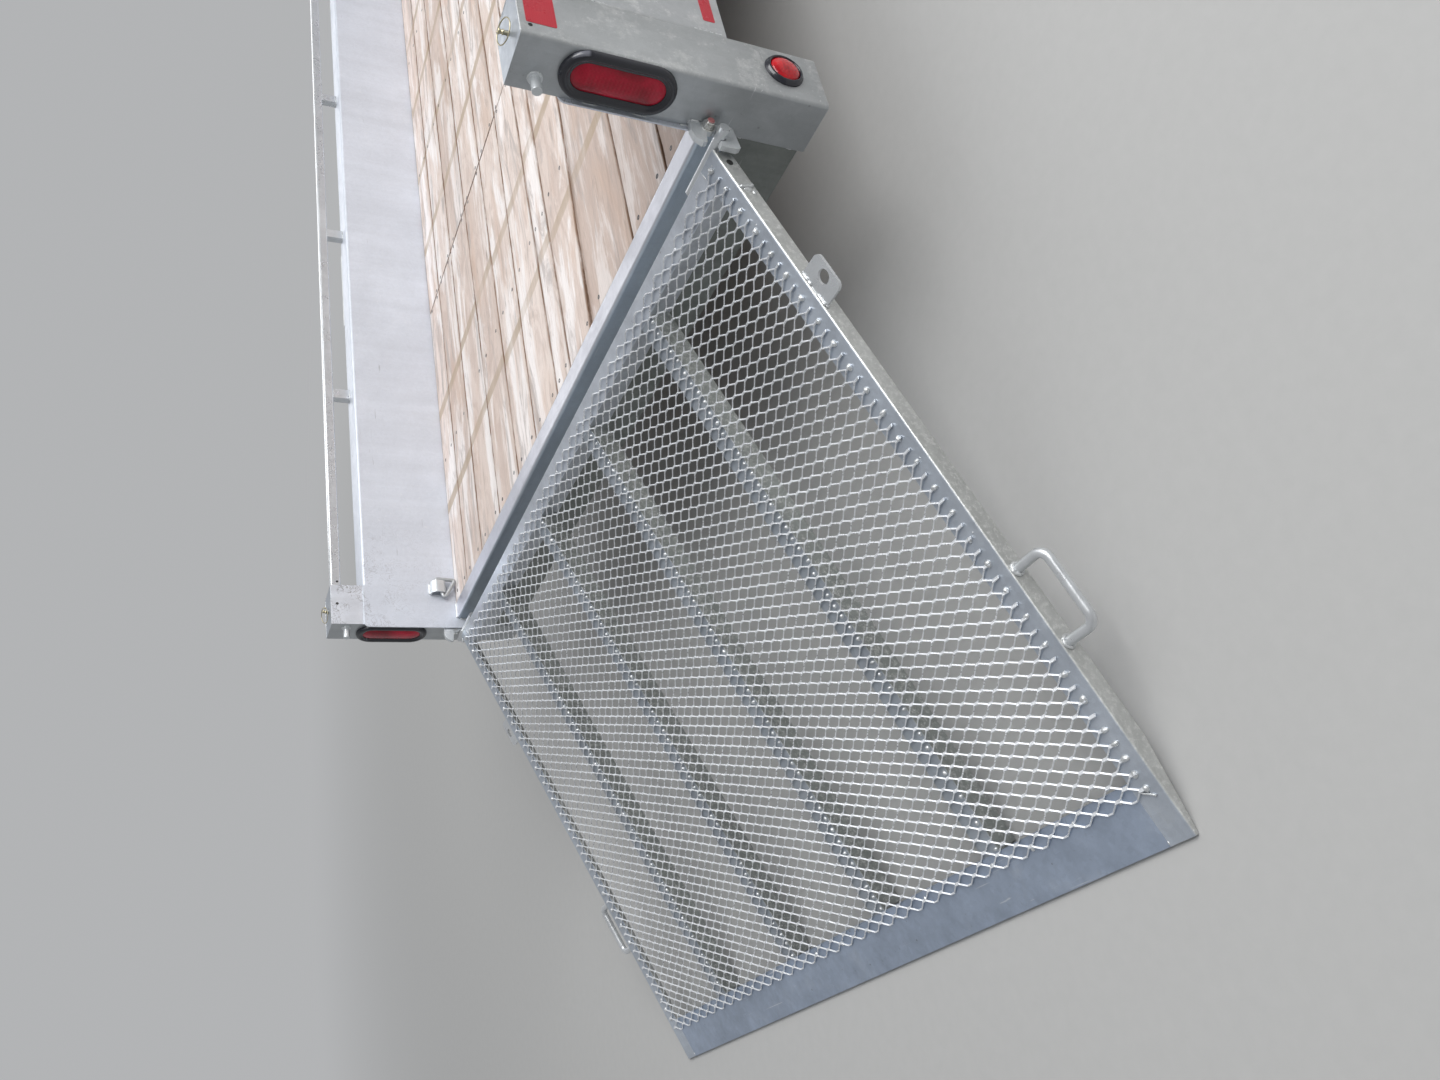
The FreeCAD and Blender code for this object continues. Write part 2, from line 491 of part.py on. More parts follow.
la = fuse(box(4775, 4850, -9, 9, cz1, cz1 + 16), box(4748, 4800, -13, 13, cz1 + 16, cz1 + 24),
          cyl(5.0, (4835, -22, cz1 + 8), (4835, 22, cz1 + 8)))
add("coupler_latch", one(la))

# tongue jack: outer tube with its triangular flange, sliding leg, foot, crank
jz = FRAME_BOT
jt = cyl(JACK_OR, (JACK_X, 0, JACK_BOT), (JACK_X, 0, JACK_TOP))
jt = jt.cut(cyl(JACK_LEG_R + 1.2, (JACK_X, 0, JACK_BOT - 1), (JACK_X, 0, JACK_TOP - 12)))
fl = poly([(JACK_X - 52, -150, jz), (JACK_X + 52, -100, jz), (JACK_X + 52, 100, jz), (JACK_X - 52, 150, jz)], (0, 0, 8))
fl = fl.cut(cyl(JACK_OR - 1, (JACK_X, 0, jz - 1), (JACK_X, 0, jz + 10)))
jt = one(fuse(jt, fl, cyl(33.0, (JACK_X, 0, JACK_TOP - 34), (JACK_X, 0, JACK_TOP)).cut(
    cyl(JACK_OR - 1, (JACK_X, 0, JACK_TOP - 40), (JACK_X, 0, JACK_TOP - 1)))))
add("jack_tube", jt)
cr = fuse(cyl(8.0, (JACK_X, 0, JACK_TOP), (JACK_X, 0, JACK_TOP + 30)),
          box(JACK_X - 150, JACK_X + 14, -10, 10, JACK_TOP + 22, JACK_TOP + 30),
          cyl(11.0, (JACK_X - 140, 0, JACK_TOP + 30), (JACK_X - 140, 0, JACK_TOP + 112)))
add("jack_crank", one(cr))
leg = cyl(JACK_LEG_R, (JACK_X, 0, 10), (JACK_X, 0, JACK_LEG_TOP)).cut(
    cyl(JACK_LEG_R - 4, (JACK_X, 0, 60), (JACK_X, 0, JACK_LEG_TOP + 1)))
foot = cyl(62.0, (JACK_X, 0, 0), (JACK_X, 0, 10))
foot = foot.makeFillet(4.0, [e for e in foot.Edges if abs(e.BoundBox.ZMin - 10) < 0.01])
add("jack_leg", one(fuse(leg, foot)))

# ---------------------------------------------------------------- tie-down rings
rings = []
for x in (114.0, BED_L - 200.0):
    y = WALL_IN - 11.0
    z = 556.0
    br = box(x - 17, x + 17, WALL_IN - 20, WALL_IN, z - 15, z + 19)
    br = br.cut(cyl(6.4, (x - 20, y, z), (x + 20, y, z)))
    ri = fuse(cyl(5.0, (x - 25, y, z), (x + 25, y, z)), Part.makeSphere(5.0, V(x - 25, y, z)),
              Part.makeSphere(5.0, V(x + 25, y, z)),
              cyl(5.0, (x - 25, y, z), (x - 25, y, z - 26)), cyl(5.0, (x + 25, y, z), (x + 25, y, z - 26)),
              Part.makeTorus(25.0, 5.0, V(x, y, z - 26), V(0, 1, 0)).common(
                  box(x - 40, x + 40, y - 10, y + 10, z - 70, z - 26)))
    rings += [one(br), mirror(one(br)), one(ri), mirror(one(ri))]
add("tie_downs", *rings)


# ---------------------------------------------------------------- ramp
def W(s, y, n):
    p = V(RAMP_HX, 0, RAMP_HZ) + E * s + N * n
    return V(p.x, y, p.z)


M = FreeCAD.Matrix(E.x, 0, N.x, RAMP_HX, 0, 1, 0, 0, E.z, 0, N.z, RAMP_HZ, 0, 0, 0, 1)


def place(s):
    """From ramp axes (s down the slope, y, n) to the trailer's, at rest."""
    # (s, y, n) is left-handed against (x, y, z), so shapes are drawn with -s as x
    q = s.copy()
    q.transformShape(FreeCAD.Matrix(-E.x, 0, N.x, RAMP_HX, 0, 1, 0, 0, -E.z, 0, N.z, RAMP_HZ, 0, 0, 0, 1), True)
    return q


def rbox(s0, s1, y0, y1, n0, n1):
    return box(-s1, -s0, y0, y1, n0, n1)


TAPER = 1147.0
rail = rbox(0, RAMP_L, RAMP_W - ANG, RAMP_W, -ANG_T, 0)
leg = poly([(-8, RAMP_W - ANG_T, 0), (-RAMP_L, RAMP_W - ANG_T, 0), (-RAMP_L, RAMP_W - ANG_T, -TOE_T),
            (-TAPER, RAMP_W - ANG_T, -LEG), (-20, RAMP_W - ANG_T, -LEG), (-8, RAMP_W - ANG_T, -26)], (0, ANG_T, 0))
rail = one(fuse(rail, leg))
edge = [e for e in rail.Edges if e.BoundBox.XLength > 900 and e.BoundBox.YMin > RAMP_W - 0.01 and e.BoundBox.ZMin > -0.01]
rail = one(rail.makeFillet(4.5, edge))
add("ramp_side_rails", place(rail), place(mirror(rail)))

iw = RAMP_W - ANG
hr = fuse(rbox(0, ANG, -iw, iw, -ANG_T, 0), rbox(ANG - ANG_T, ANG, -iw, iw, -ANG, 0))
add("ramp_hinge_rail", place(one(hr)))
TOE_S = 1192.0
toe = rbox(TOE_S, RAMP_L, -iw, iw, -TOE_T, 0)
add("ramp_toe_plate", place(toe))

# four lengthwise angle stiffeners, between the hinge rail and the toe plate
STIFF_Y = [-547.0, -182.0, 182.0, 547.0]
st = []
for y in STIFF_Y:
    a1 = fuse(rbox(ANG, TOE_S, y, y + ANG - 6, -ANG_T, 0), rbox(ANG, TOE_S, y, y + ANG_T, -ANG + 6, 0))
    st.append(place(one(a1)))
add("ramp_stiffeners", *st)

MESH_S0, MESH_S1, MESH_Y, MESH_T = 22.0, 1216.0, 886.0, 5.0
add("ramp_mesh", place(rbox(MESH_S0, MESH_S1, -MESH_Y, MESH_Y, 0, MESH_T)))

bar = cyl(BAR_R, (-BAR_S, 799, BAR_N), (-BAR_S, 948, BAR_N))
add("ramp_hinge_bars", place(bar), place(mirror(bar)))

# latch tabs with their pin holes, and grab handles
tab = rbox(TAB_S - 36, TAB_S + 36, RAMP_W, RAMP_W + 50, -10.5, -5)
tab = tab.makeFillet(12.0, [e for e in tab.Edges if e.BoundBox.ZLength > 5 and e.BoundBox.YMin > RAMP_W + 45])
tab = one(tab.cut(cyl(12.5, (-TAB_S, STUD_Y, -12), (-TAB_S, STUD_Y, 1))))
add("ramp_latch_tabs", place(tab), place(mirror(tab)))

HS0, HS1, HOUT, HR = 857.0, 984.0, 62.0, 8.0
hn = -14.0
yo = RAMP_W + HOUT
hd = fuse(cyl(HR, (-HS0, RAMP_W, hn), (-HS0, yo - 18, hn)), cyl(HR, (-HS1, RAMP_W, hn), (-HS1, yo - 18, hn)),
          cyl(HR, (-HS0 - 18, yo, hn), (-HS1 + 18, yo, hn)))
for sx, c in ((-1, -HS0 - 18), (1, -HS1 + 18)):
    tor = Part.makeTorus(18.0, HR, V(c, yo - 18, hn), V(0, 0, 1))
    x0, x1 = (c, c + 30) if sx < 0 else (c - 30, c)
    hd = fuse(hd, tor.common(box(x0, x1, yo - 18, yo + 20, hn - 20, hn + 20)))
hd = one(hd)
add("ramp_handles", place(hd), place(mirror(hd)))

# ---------------------------------------------------------------- ramp hinge brackets on the posts
HBY0, HBY1 = 917.0, 928.0
hx, hz = HINGE.x, HINGE.z
cr = BAR_R + 1.0
KX, KZ = -9.5, hz + 19.5       # keeper bolt
JAW = [(0, 50), (-22, 53), (-38, 48), (-48, 34), (-46, 27), (-30, 25.5), (-19, 22), (-18.5, 13.5), (-13.5, 8), (-13.5, 0),
       (hx - cr, 0), (hx - cr, 1.5), (hx - cr - 11.5, 1.5), (hx - cr - 11.5, -28), (hx - cr - 7, -35), (0, -29)]
jaw = poly([(x, HBY0, hz + z) for x, z in JAW], (0, HBY1 - HBY0, 0))
jaw = jaw.cut(cyl(cr, (hx, HBY0 - 1, hz), (hx, HBY1 + 1, hz)))
jaw = jaw.cut(cyl(6.2, (KX, HBY0 - 1, KZ), (KX, HBY1 + 1, KZ)))
jaw = one(jaw)
add("hinge_brackets", jaw, mirror(jaw))
bolt = fuse(cyl(6.0, (KX, HBY0, KZ), (KX, HBY1 + 15, KZ)), cyl(9.5, (KX, HBY1, KZ), (KX, HBY1 + 10, KZ)))
add("hinge_keeper_bolts", one(bolt), mirror(one(bolt)))

# ---------------------------------------------------------------- write
XMIN = W(RAMP_L, 0, 0).x
XMAX = BALL_X + NOSE_R
SHIFT = -(XMIN + XMAX) / 2.0
os.makedirs("parts", exist_ok=True)
for f0 in os.listdir("parts"):
    if f0.endswith(".step"):
        os.remove(os.path.join("parts", f0))
tot = 0.0
for name, sh in parts.items():
    sh = sh.copy()
    sh.translate(V(SHIFT, 0, 0))
    bb = sh.BoundBox
    tot += sh.Volume
    print("%-22s solids %2d valid %s vol %.1f cm3  x %.1f %.1f  y %.1f %.1f  z %.1f %.1f" % (
        name, len(sh.Solids), sh.isValid(), sh.Volume / 1000.0, bb.XMin, bb.XMax, bb.YMin, bb.YMax, bb.ZMin, bb.ZMax))
    sh.exportStep("parts/%s.step" % name)
print("nodes", len(parts), "volume m3", tot / 1e9)
print("shift", SHIFT, "hinge", HINGE.x + SHIFT, HINGE.z, "slope deg", math.degrees(SLOPE), "stud z", STUD_Z)
print("axle", AXLE_X + SHIFT, WHEEL_Y, WHEEL_R, "jack", JACK_X + SHIFT)
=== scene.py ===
import bpy
import math
import random
import numpy as np
from mathutils import Vector, Matrix, noise


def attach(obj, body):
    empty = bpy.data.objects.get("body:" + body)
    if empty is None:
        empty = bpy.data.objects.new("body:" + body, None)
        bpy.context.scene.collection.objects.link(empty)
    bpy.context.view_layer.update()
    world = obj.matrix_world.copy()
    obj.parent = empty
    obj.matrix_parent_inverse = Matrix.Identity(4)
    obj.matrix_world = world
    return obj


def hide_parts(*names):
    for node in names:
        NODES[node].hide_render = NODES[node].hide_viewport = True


# A 12 ft utility trailer with its mesh ramp lowered. Metres; +X forward, +Y left, +Z up.
# MM() takes millimetres in the same stations as the CAD source, RP() takes ramp
# axes: s down the slope, y across, n out of the top face.

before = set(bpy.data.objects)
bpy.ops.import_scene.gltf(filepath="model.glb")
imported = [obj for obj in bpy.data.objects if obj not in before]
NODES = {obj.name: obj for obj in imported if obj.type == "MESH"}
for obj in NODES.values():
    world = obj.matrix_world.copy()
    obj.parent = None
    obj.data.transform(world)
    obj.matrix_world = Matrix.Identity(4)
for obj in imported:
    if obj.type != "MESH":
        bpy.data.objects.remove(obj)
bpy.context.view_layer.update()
scene = bpy.context.scene

SX = -1.8537157785983109
E = Vector((-0.92721, 0.0, -0.37453)).normalized()
N = Vector((-0.37453, 0.0, 0.92721)).normalized()
R0 = Vector((-1.8905158, 0.0, 0.4894))


def MM(x, y, z):
    return Vector((x / 1000.0 + SX, y / 1000.0, z / 1000.0))


def RP(s, y, n):
    p = R0 + E * (s / 1000.0) + N * (n / 1000.0)
    return Vector((p.x, y / 1000.0, p.z))


# ------------------------------------------------------------------ camera
CAM = Vector((-3.3670658, -2.04778, 1.29679))
yaw, pitch, roll = (math.radians(v) for v in (58.0306, -26.1695, 2.9649))
fwd = Vector((math.cos(pitch) * math.cos(yaw), math.cos(pitch) * math.sin(yaw), math.sin(pitch)))
rgt = Vector((math.sin(yaw), -math.cos(yaw), 0.0))
up = rgt.cross(fwd)
cr, sr = math.cos(roll), math.sin(roll)
r2 = rgt * cr + up * sr
u2 = up * cr - rgt * sr
cam_data = bpy.data.cameras.new("camera")
cam_data.lens = 28.905
cam_data.sensor_width = 36.0
cam_data.sensor_fit = "HORIZONTAL"
cam_data.clip_start = 0.05
cam = bpy.data.objects.new("camera", cam_data)
scene.collection.objects.link(cam)
m = Matrix.Identity(4)
for i in range(3):
    m[i][0] = -u2[i]
    m[i][1] = r2[i]
    m[i][2] = -fwd[i]
    m[i][3] = CAM[i]
cam.matrix_world = m
scene.camera = cam


# ------------------------------------------------------------------ materials
class Mat:
    """A node material on the object's own coordinates, with short helpers."""

    def __init__(self, name):
        self.m = bpy.data.materials.new(name)
        self.m.use_nodes = True
        self.t = self.m.node_tree
        self.t.nodes.clear()
        self.out = self.n("ShaderNodeOutputMaterial")
        self.b = self.n("ShaderNodeBsdfPrincipled")
        self.t.links.new(self.b.outputs[0], self.out.inputs[0])
        self.P = self.n("ShaderNodeTexCoord").outputs["Object"]

    def n(self, kind, **kw):
        node = self.t.nodes.new(kind)
        for k, v in kw.items():
            setattr(node, k, v)
        return node

    def put(self, sock, v):
        if isinstance(v, bpy.types.NodeSocket):
            self.t.links.new(v, sock)
        else:
            sock.default_value = v

    def math(self, op, a, b=0.0, c=0.0, clamp=False):
        q = self.n("ShaderNodeMath", operation=op, use_clamp=clamp)
        self.put(q.inputs[0], a)
        self.put(q.inputs[1], b)
        self.put(q.inputs[2], c)
        return q.outputs[0]

    def rng(self, v, a, b, c, d, smooth=False):
        q = self.n("ShaderNodeMapRange", clamp=True)
        if smooth:
            q.interpolation_type = "SMOOTHSTEP"
        self.put(q.inputs["Value"], v)
        for k, w in zip(("From Min", "From Max", "To Min", "To Max"), (a, b, c, d)):
            q.inputs[k].default_value = w
        return q.outputs[0]

    def mix(self, f, a, b):
        q = self.n("ShaderNodeMix", data_type="RGBA")
        self.put(q.inputs[0], f)
        self.put(q.inputs[6], a if isinstance(a, bpy.types.NodeSocket) else tuple(a) + (1.0,) * (4 - len(a)))
        self.put(q.inputs[7], b if isinstance(b, bpy.types.NodeSocket) else tuple(b) + (1.0,) * (4 - len(b)))
        return q.outputs[2]

    def scale(self, col, v):
        q = self.n("ShaderNodeVectorMath", operation="SCALE")
        self.put(q.inputs[0], col)
        self.put(q.inputs["Scale"], v)
        return q.outputs[0]

    def map(self, scale=(1, 1, 1), loc=(0, 0, 0), rot=(0, 0, 0), vec=None):
        q = self.n("ShaderNodeMapping")
        self.put(q.inputs[0], vec or self.P)
        q.inputs["Location"].default_value = loc
        q.inputs["Rotation"].default_value = rot
        q.inputs["Scale"].default_value = scale
        return q.outputs[0]

    def noise(self, scale, detail=2.0, rough=0.5, vec=None, dist=0.0):
        q = self.n("ShaderNodeTexNoise")
        self.put(q.inputs["Vector"], vec or self.P)
        q.inputs["Scale"].default_value = scale
        q.inputs["Detail"].default_value = detail
        q.inputs["Roughness"].default_value = rough
        q.inputs["Distortion"].default_value = dist
        return q.outputs[0]

    def vor(self, scale, out="Distance", vec=None, feature="F1", rnd=1.0):
        q = self.n("ShaderNodeTexVoronoi", feature=feature)
        self.put(q.inputs["Vector"], vec or self.P)
        q.inputs["Scale"].default_value = scale
        q.inputs["Randomness"].default_value = rnd
        return q.outputs[out]

    def sep(self, v):
        q = self.n("ShaderNodeSeparateXYZ")
        self.put(q.inputs[0], v)
        return q.outputs

    def bump(self, h, strength, dist, normal=None):
        q = self.n("ShaderNodeBump")
        q.inputs["Strength"].default_value = strength
        q.inputs["Distance"].default_value = dist
        self.put(q.inputs["Height"], h)
        if normal:
            self.put(q.inputs["Normal"], normal)
        return q.outputs[0]

    def set(self, **kw):
        for k, v in kw.items():
            s = self.b.inputs[k.replace("_", " ")]
            if isinstance(v, tuple) and len(v) == 3 and s.type == "RGBA":
                v = v + (1.0,)
            self.put(s, v)
        return self


def prod(M, *vals):
    a = vals[0]
    for b in vals[1:]:
        a = M.math("MULTIPLY", a, b)
    return a


def galv(name, base, metal=0.75, rough=(0.36, 0.56), patch=0.12, streak=0.08, spangle=0.05,
         bloom=0.25, speck=0.5, lump=0.35, lay=(26.0, 26.0, 1.6), bloom_col=(0.74, 0.76, 0.77), size=130.0,
         off=0.0, dirt=0.0, sides=None, crust=(120.0, 0.5, 0.66, 0.7), tops=None, painted_back_tone=None, inner=None,
         edge=0.0, scr=0.0, fade=None, painted_fore_tone=None, fleck=None, shade_lean=None, seam=False):
    """Hot-dip zinc: slow patches, runs along lay, spangles, pale bloom, dark specks, a lumpy skin.
    sides, tops and backs give the tone, a painted light or shade, of faces that look along Y, up and along X,
    inner that of the posts' inboard faces, fore that of faces that look ahead; edge is the bright wear
    on corners with a painted highlight along them, scr the share of fine scratches, fleck that of small
    dark scuffs. With seam, the joint between a rear post and its wall is dressed flush, so it carries no worn edge."""
    M = Mat(name)
    o = (off, off * 0.7, -off * 0.4)
    p = M.map(loc=o)
    big = M.noise(3.1, 5.0, 0.62, p)
    mid = M.noise(17.0, 4.0, 0.6, p)
    run = M.noise(1.0, 5.0, 0.6, M.map(scale=lay, loc=o))
    sp = M.sep(M.vor(size, "Color", p))
    grain = M.noise(900.0, 2.0, 0.5, p)
    v = prod(M,
             M.rng(big, 0.3, 0.7, 1.0 - patch, 1.0 + patch),
             M.rng(mid, 0.3, 0.7, 1.0 - patch * 0.6, 1.0 + patch * 0.6),
             M.rng(run, 0.28, 0.72, 1.0 - streak, 1.0 + streak),
             M.rng(sp[0], 0.0, 1.0, 1.0 - spangle, 1.0 + spangle),
             M.rng(grain, 0.3, 0.7, 0.955, 1.045))
    # darker towards the bottom, over the heights given by fade
    if fade:
        v = M.math("MULTIPLY", v, M.rng(M.sep(M.P)[2], fade[0], fade[1], fade[2], fade[3], True))
    vt = v
    # painted shade: the colour darkens along Y towards the left end, on every face but those that look up
    if shade_lean:
        v = M.math("MULTIPLY", v, M.rng(M.sep(M.P)[1], shade_lean[0], shade_lean[1], shade_lean[2], shade_lean[3], True))
    col = M.scale(tuple(base), v)
    bl = M.noise(8.5, 9.0, 0.68, p, 0.4)
    blm = M.rng(bl, 0.54, 0.74, 0.0, bloom)
    col = M.mix(blm, col, bloom_col)
    dots = M.vor(34.0, "Distance", p)
    dsel = M.sep(M.vor(34.0, "Color", p))[1]
    dm = M.math("MULTIPLY", M.math("LESS_THAN", dots, 0.075), M.math("GREATER_THAN", dsel, 0.80))
    col = M.mix(M.math("MULTIPLY", dm, speck), col, (0.16, 0.155, 0.15))
    # painted light and shade: faces that look up, along X, ahead or sideways each take a tone of their own
    if sides or tops or painted_back_tone or painted_fore_tone:
        gn = M.sep(M.n("ShaderNodeNewGeometry").outputs["True Normal"])
    if tops:
        col = M.mix(M.rng(gn[2], 0.5, 0.85, 0.0, 1.0, True), col, M.mix(blm, M.scale(tuple(tops), vt), bloom_col))
    if painted_back_tone:
        col = M.mix(M.rng(M.math("ABSOLUTE", gn[0]), 0.5, 0.85, 0.0, 1.0, True), col,
                    M.mix(blm, M.scale(tuple(painted_back_tone), v), bloom_col))
    if painted_fore_tone:
        col = M.mix(M.rng(gn[0], 0.5, 0.85, 0.0, 1.0, True), col, M.scale(tuple(painted_fore_tone), v))
    if sides:
        # faces that look sideways take their own tone, a painted light or shade, and are more mottled, with a pale
        # crust
        f = M.rng(M.math("ABSOLUTE", gn[1]), 0.35, 0.75, 0.0, 1.0, True)
        cr_n = M.noise(crust[0], 6.0, 0.75, p)
        sc = M.mix(M.rng(cr_n, crust[1], crust[2], 0.0, crust[3]), M.scale(tuple(sides), v), (0.80, 0.80, 0.79))
        sc = M.mix(M.math("MULTIPLY", M.rng(cr_n, 0.46, 0.60, 0.12, 1.0), M.rng(M.noise(230.0, 4.0, 0.7, p), 0.57, 0.68, 0.0, crust[3] * 1.5)),
                   sc, (0.84, 0.84, 0.84))
        if inner:
            # painted light: the inboard faces of posts and walls take a paler tone of their own
            yy = M.math("ABSOLUTE", M.sep(M.P)[1])
            sc = M.mix(M.math("LESS_THAN", yy, 0.935), sc, M.mix(blm, M.scale(tuple(inner), v), bloom_col))
        col = M.mix(f, col, sc)
    if scr:
        # two families of hair-fine scratches, bright where they are fresh and dark where they are old
        for k, (rx, rz, tone, lo) in enumerate(((0.5, 0.9, (0.86, 0.87, 0.88), 0.735), (-0.7, -0.5, (0.17, 0.17, 0.175), 0.755))):
            sn = M.noise(1.0, 2.0, 0.5, M.map(scale=(9.0, 210.0, 210.0) if k else (150.0, 8.0, 150.0), loc=(off + k, 0.3, 0.0),
                                              rot=(rx, 0.3, rz)), 0.8)
            gate = M.rng(M.noise(3.7 + k, 3.0, 0.6, p), 0.50, 0.60, 0.0, 1.0)
            col = M.mix(M.math("MULTIPLY", gate, M.rng(sn, lo - 0.05, lo, 0.0, scr)), col, tone)
    if fleck:
        fn = M.noise(fleck[0], 4.0, 0.66, p, 2.2)
        line = M.rng(M.math("ABSOLUTE", M.math("SUBTRACT", fn, 0.5)), 0.010, 0.026, 1.0, 0.0, True)
        fm = prod(M, line, M.rng(M.noise(17.0, 3.0, 0.6, p), 0.47, 0.55, 0.0, 1.0), M.rng(M.noise(3.3, 3.0, 0.6, p), 0.40, 0.52, 0.35, 1.0),
                  M.rng(M.sep(M.P)[0], SX + 0.13, SX + 0.42, fleck[1], fleck[2], True), M.rng(M.sep(M.P)[2], 0.62, 0.77, 0.30, 1.0, True),
                  M.math("LESS_THAN", M.math("ABSOLUTE", M.sep(M.P)[1]), 0.935), M.rng(M.math("ABSOLUTE", gn[1]), 0.5, 0.8, 0.0, 1.0))
        col = M.mix(fm, col, (0.27, 0.27, 0.29))
    if dirt:
        dn = M.noise(6.0, 8.0, 0.7, p)
        col = M.mix(M.rng(dn, 0.5, 0.72, 0.0, dirt), col, (0.30, 0.27, 0.22))
    rg = M.math("ADD", M.rng(sp[1], 0.0, 1.0, rough[0], rough[1]), M.rng(bl, 0.5, 0.75, -0.04, 0.14))
    h1 = M.noise(70.0, 3.0, 0.55, p)
    h2 = M.noise(11.0, 3.0, 0.5, M.map(scale=(1.0, 1.0, 0.35), loc=o))
    soft = None
    if edge:
        # corners carry a small radius and are rubbed bright, with a painted highlight laid along them
        bv = M.n("ShaderNodeBevel", samples=4)
        bv.inputs["Radius"].default_value = 0.0016
        soft = bv.outputs[0]
        if seam:
            sm = M.math("LESS_THAN", M.math("ABSOLUTE", M.math("SUBTRACT", M.sep(M.P)[0], SX + 0.122)), 0.006)
            soft = M.mix(sm, soft, M.n("ShaderNodeNewGeometry").outputs["True Normal"])
        dt = M.n("ShaderNodeVectorMath", operation="DOT_PRODUCT")
        M.put(dt.inputs[0], soft)
        M.put(dt.inputs[1], M.n("ShaderNodeNewGeometry").outputs["True Normal"])
        edge_wear_and_highlight = M.math("MULTIPLY", M.rng(dt.outputs["Value"], 0.80, 0.985, edge, 0.0), M.rng(mid, 0.36, 0.6, 0.35, 1.0))
        col = M.mix(edge_wear_and_highlight, col, (0.88, 0.89, 0.90))
    nrm = M.bump(h2, lump * 0.5, 0.004, soft)
    nrm = M.bump(h1, lump * 0.6, 0.0012, nrm)
    M.set(Base_Color=col, Metallic=metal, Roughness=rg, Normal=nrm)
    return M.m


def zinc(name, base=(0.66, 0.655, 0.62), rough=(0.24, 0.4)):
    M = Mat(name)
    a = M.noise(55.0, 4.0, 0.6)
    b = M.noise(700.0, 2.0, 0.5)
    v = prod(M, M.rng(a, 0.3, 0.7, 0.82, 1.12), M.rng(b, 0.3, 0.7, 0.95, 1.05))
    tint = M.mix(M.rng(M.noise(30.0, 3.0), 0.4, 0.7, 0.0, 0.25), base, (0.66, 0.60, 0.42))
    M.set(Base_Color=M.scale(tint, v), Metallic=0.9, Roughness=M.rng(a, 0.3, 0.7, rough[0], rough[1]),
          Normal=M.bump(b, 0.12, 0.0006))
    return M.m


def rubber(name, base, rough, gloss=0.5, scale=240.0, dust=0.25, dust_col=(0.20, 0.19, 0.17), flank_highlight=None):
    M = Mat(name)
    a = M.noise(14.0, 6.0, 0.65)
    b = M.noise(scale, 3.0, 0.55)
    col = M.scale(base, M.rng(b, 0.3, 0.7, 0.85, 1.2))
    col = M.mix(M.rng(a, 0.52, 0.78, 0.0, dust), col, dust_col)
    if flank_highlight:
        # a painted highlight high on the outboard rims of the oval grommets
        gn = M.sep(M.n("ShaderNodeNewGeometry").outputs["Normal"])
        pp = M.sep(M.P)
        flank_highlight_mask = prod(M, M.rng(M.math("ABSOLUTE", gn[1]), 0.34, 0.60, 0.0, 1.0, True), M.rng(pp[0], -1.8560, -1.8545, 1.0, 0.0, True),
                  M.rng(M.math("ABSOLUTE", pp[1]), 0.984, 0.990, 0.0, 1.0, True), M.rng(pp[2], 0.730, 0.736, 0.0, 1.0, True),
                  M.rng(pp[2], 0.752, 0.759, 1.0, 0.0, True))
        col = M.mix(M.math("MULTIPLY", flank_highlight_mask, M.rng(a, 0.35, 0.6, 0.35, 0.9)), col, flank_highlight)
    M.set(Base_Color=col, Roughness=M.rng(a, 0.3, 0.7, rough[0], rough[1]), Normal=M.bump(b, 0.15, 0.0006))
    M.b.inputs["Specular IOR Level"].default_value = gloss
    return M.m


def lens(name, deep, bright, cells=420.0, rough=(0.12, 0.2), size=0.5, ribs=0.25, blot=26.0, coat=0.22):
    """Coloured plastic over a finely ribbed reflector."""
    M = Mat(name)
    p = M.sep(M.P)
    fx = M.math("SINE", M.math("MULTIPLY", p[1], cells * 2.2))
    fz = M.math("SINE", M.math("MULTIPLY", p[2], cells * 2.2))
    fy = M.math("SINE", M.math("MULTIPLY", p[0], cells * 2.2))
    g = M.math("MULTIPLY", M.math("ADD", fx, fy), fz)
    cl = M.noise(blot, 3.0, 0.6)
    f = M.math("ADD", M.rng(g, -1.6, 1.6, 0.5 - ribs, 0.5 + ribs), M.rng(cl, 0.3, 0.7, -size, size), clamp=True)
    col = M.mix(f, deep, bright)
    M.set(Base_Color=col, Roughness=M.rng(M.noise(90.0, 3.0), 0.3, 0.7, rough[0], rough[1]),
          Normal=M.bump(g, 0.10, 0.0006))
    M.b.inputs["Coat Weight"].default_value = coat
    M.b.inputs["Coat Roughness"].default_value = 0.06
    M.b.inputs["Specular IOR Level"].default_value = 0.30
    return M.m


def paint(name, base, rough=(0.3, 0.45), chips=(0.30, 0.29, 0.28), chip=0.35, metal=0.0):
    M = Mat(name)
    a = M.noise(9.0, 6.0, 0.6)
    c = M.noise(85.0, 5.0, 0.7)
    col = M.scale(base, M.rng(a, 0.3, 0.7, 0.85, 1.15))
    col = M.mix(M.rng(c, 0.66, 0.74, 0.0, chip), col, chips)
    M.set(Base_Color=col, Metallic=metal, Roughness=M.rng(a, 0.3, 0.7, rough[0], rough[1]),
          Normal=M.bump(M.noise(260.0, 2.0), 0.12, 0.0006))
    return M.m


def tape(name, base, cell):
    """Reflective sheeting: small sealed cells and a slight wave."""
    M = Mat(name)
    d = M.vor(cell, "Distance", None, "DISTANCE_TO_EDGE", 0.15)
    col = M.mix(M.rng(d, 0.02, 0.07, 0.22, 0.0), base, tuple(min(1.0, c * 1.5 + 0.08) for c in base))
    col = M.scale(col, M.rng(M.noise(20.0, 4.0), 0.3, 0.7, 0.9, 1.08))
    M.set(Base_Color=col, Roughness=M.rng(M.noise(40.0, 3.0), 0.3, 0.7, 0.22, 0.36),
          Normal=M.bump(M.noise(60.0, 2.0), 0.15, 0.0006))
    M.b.inputs["Coat Weight"].default_value = 0.12
    M.b.inputs["Specular IOR Level"].default_value = 0.35
    return M.m


STAINS = (445.0, 792.0, 1488.0, 1835.0, 2180.0, 2530.0, 2880.0, 3230.0)


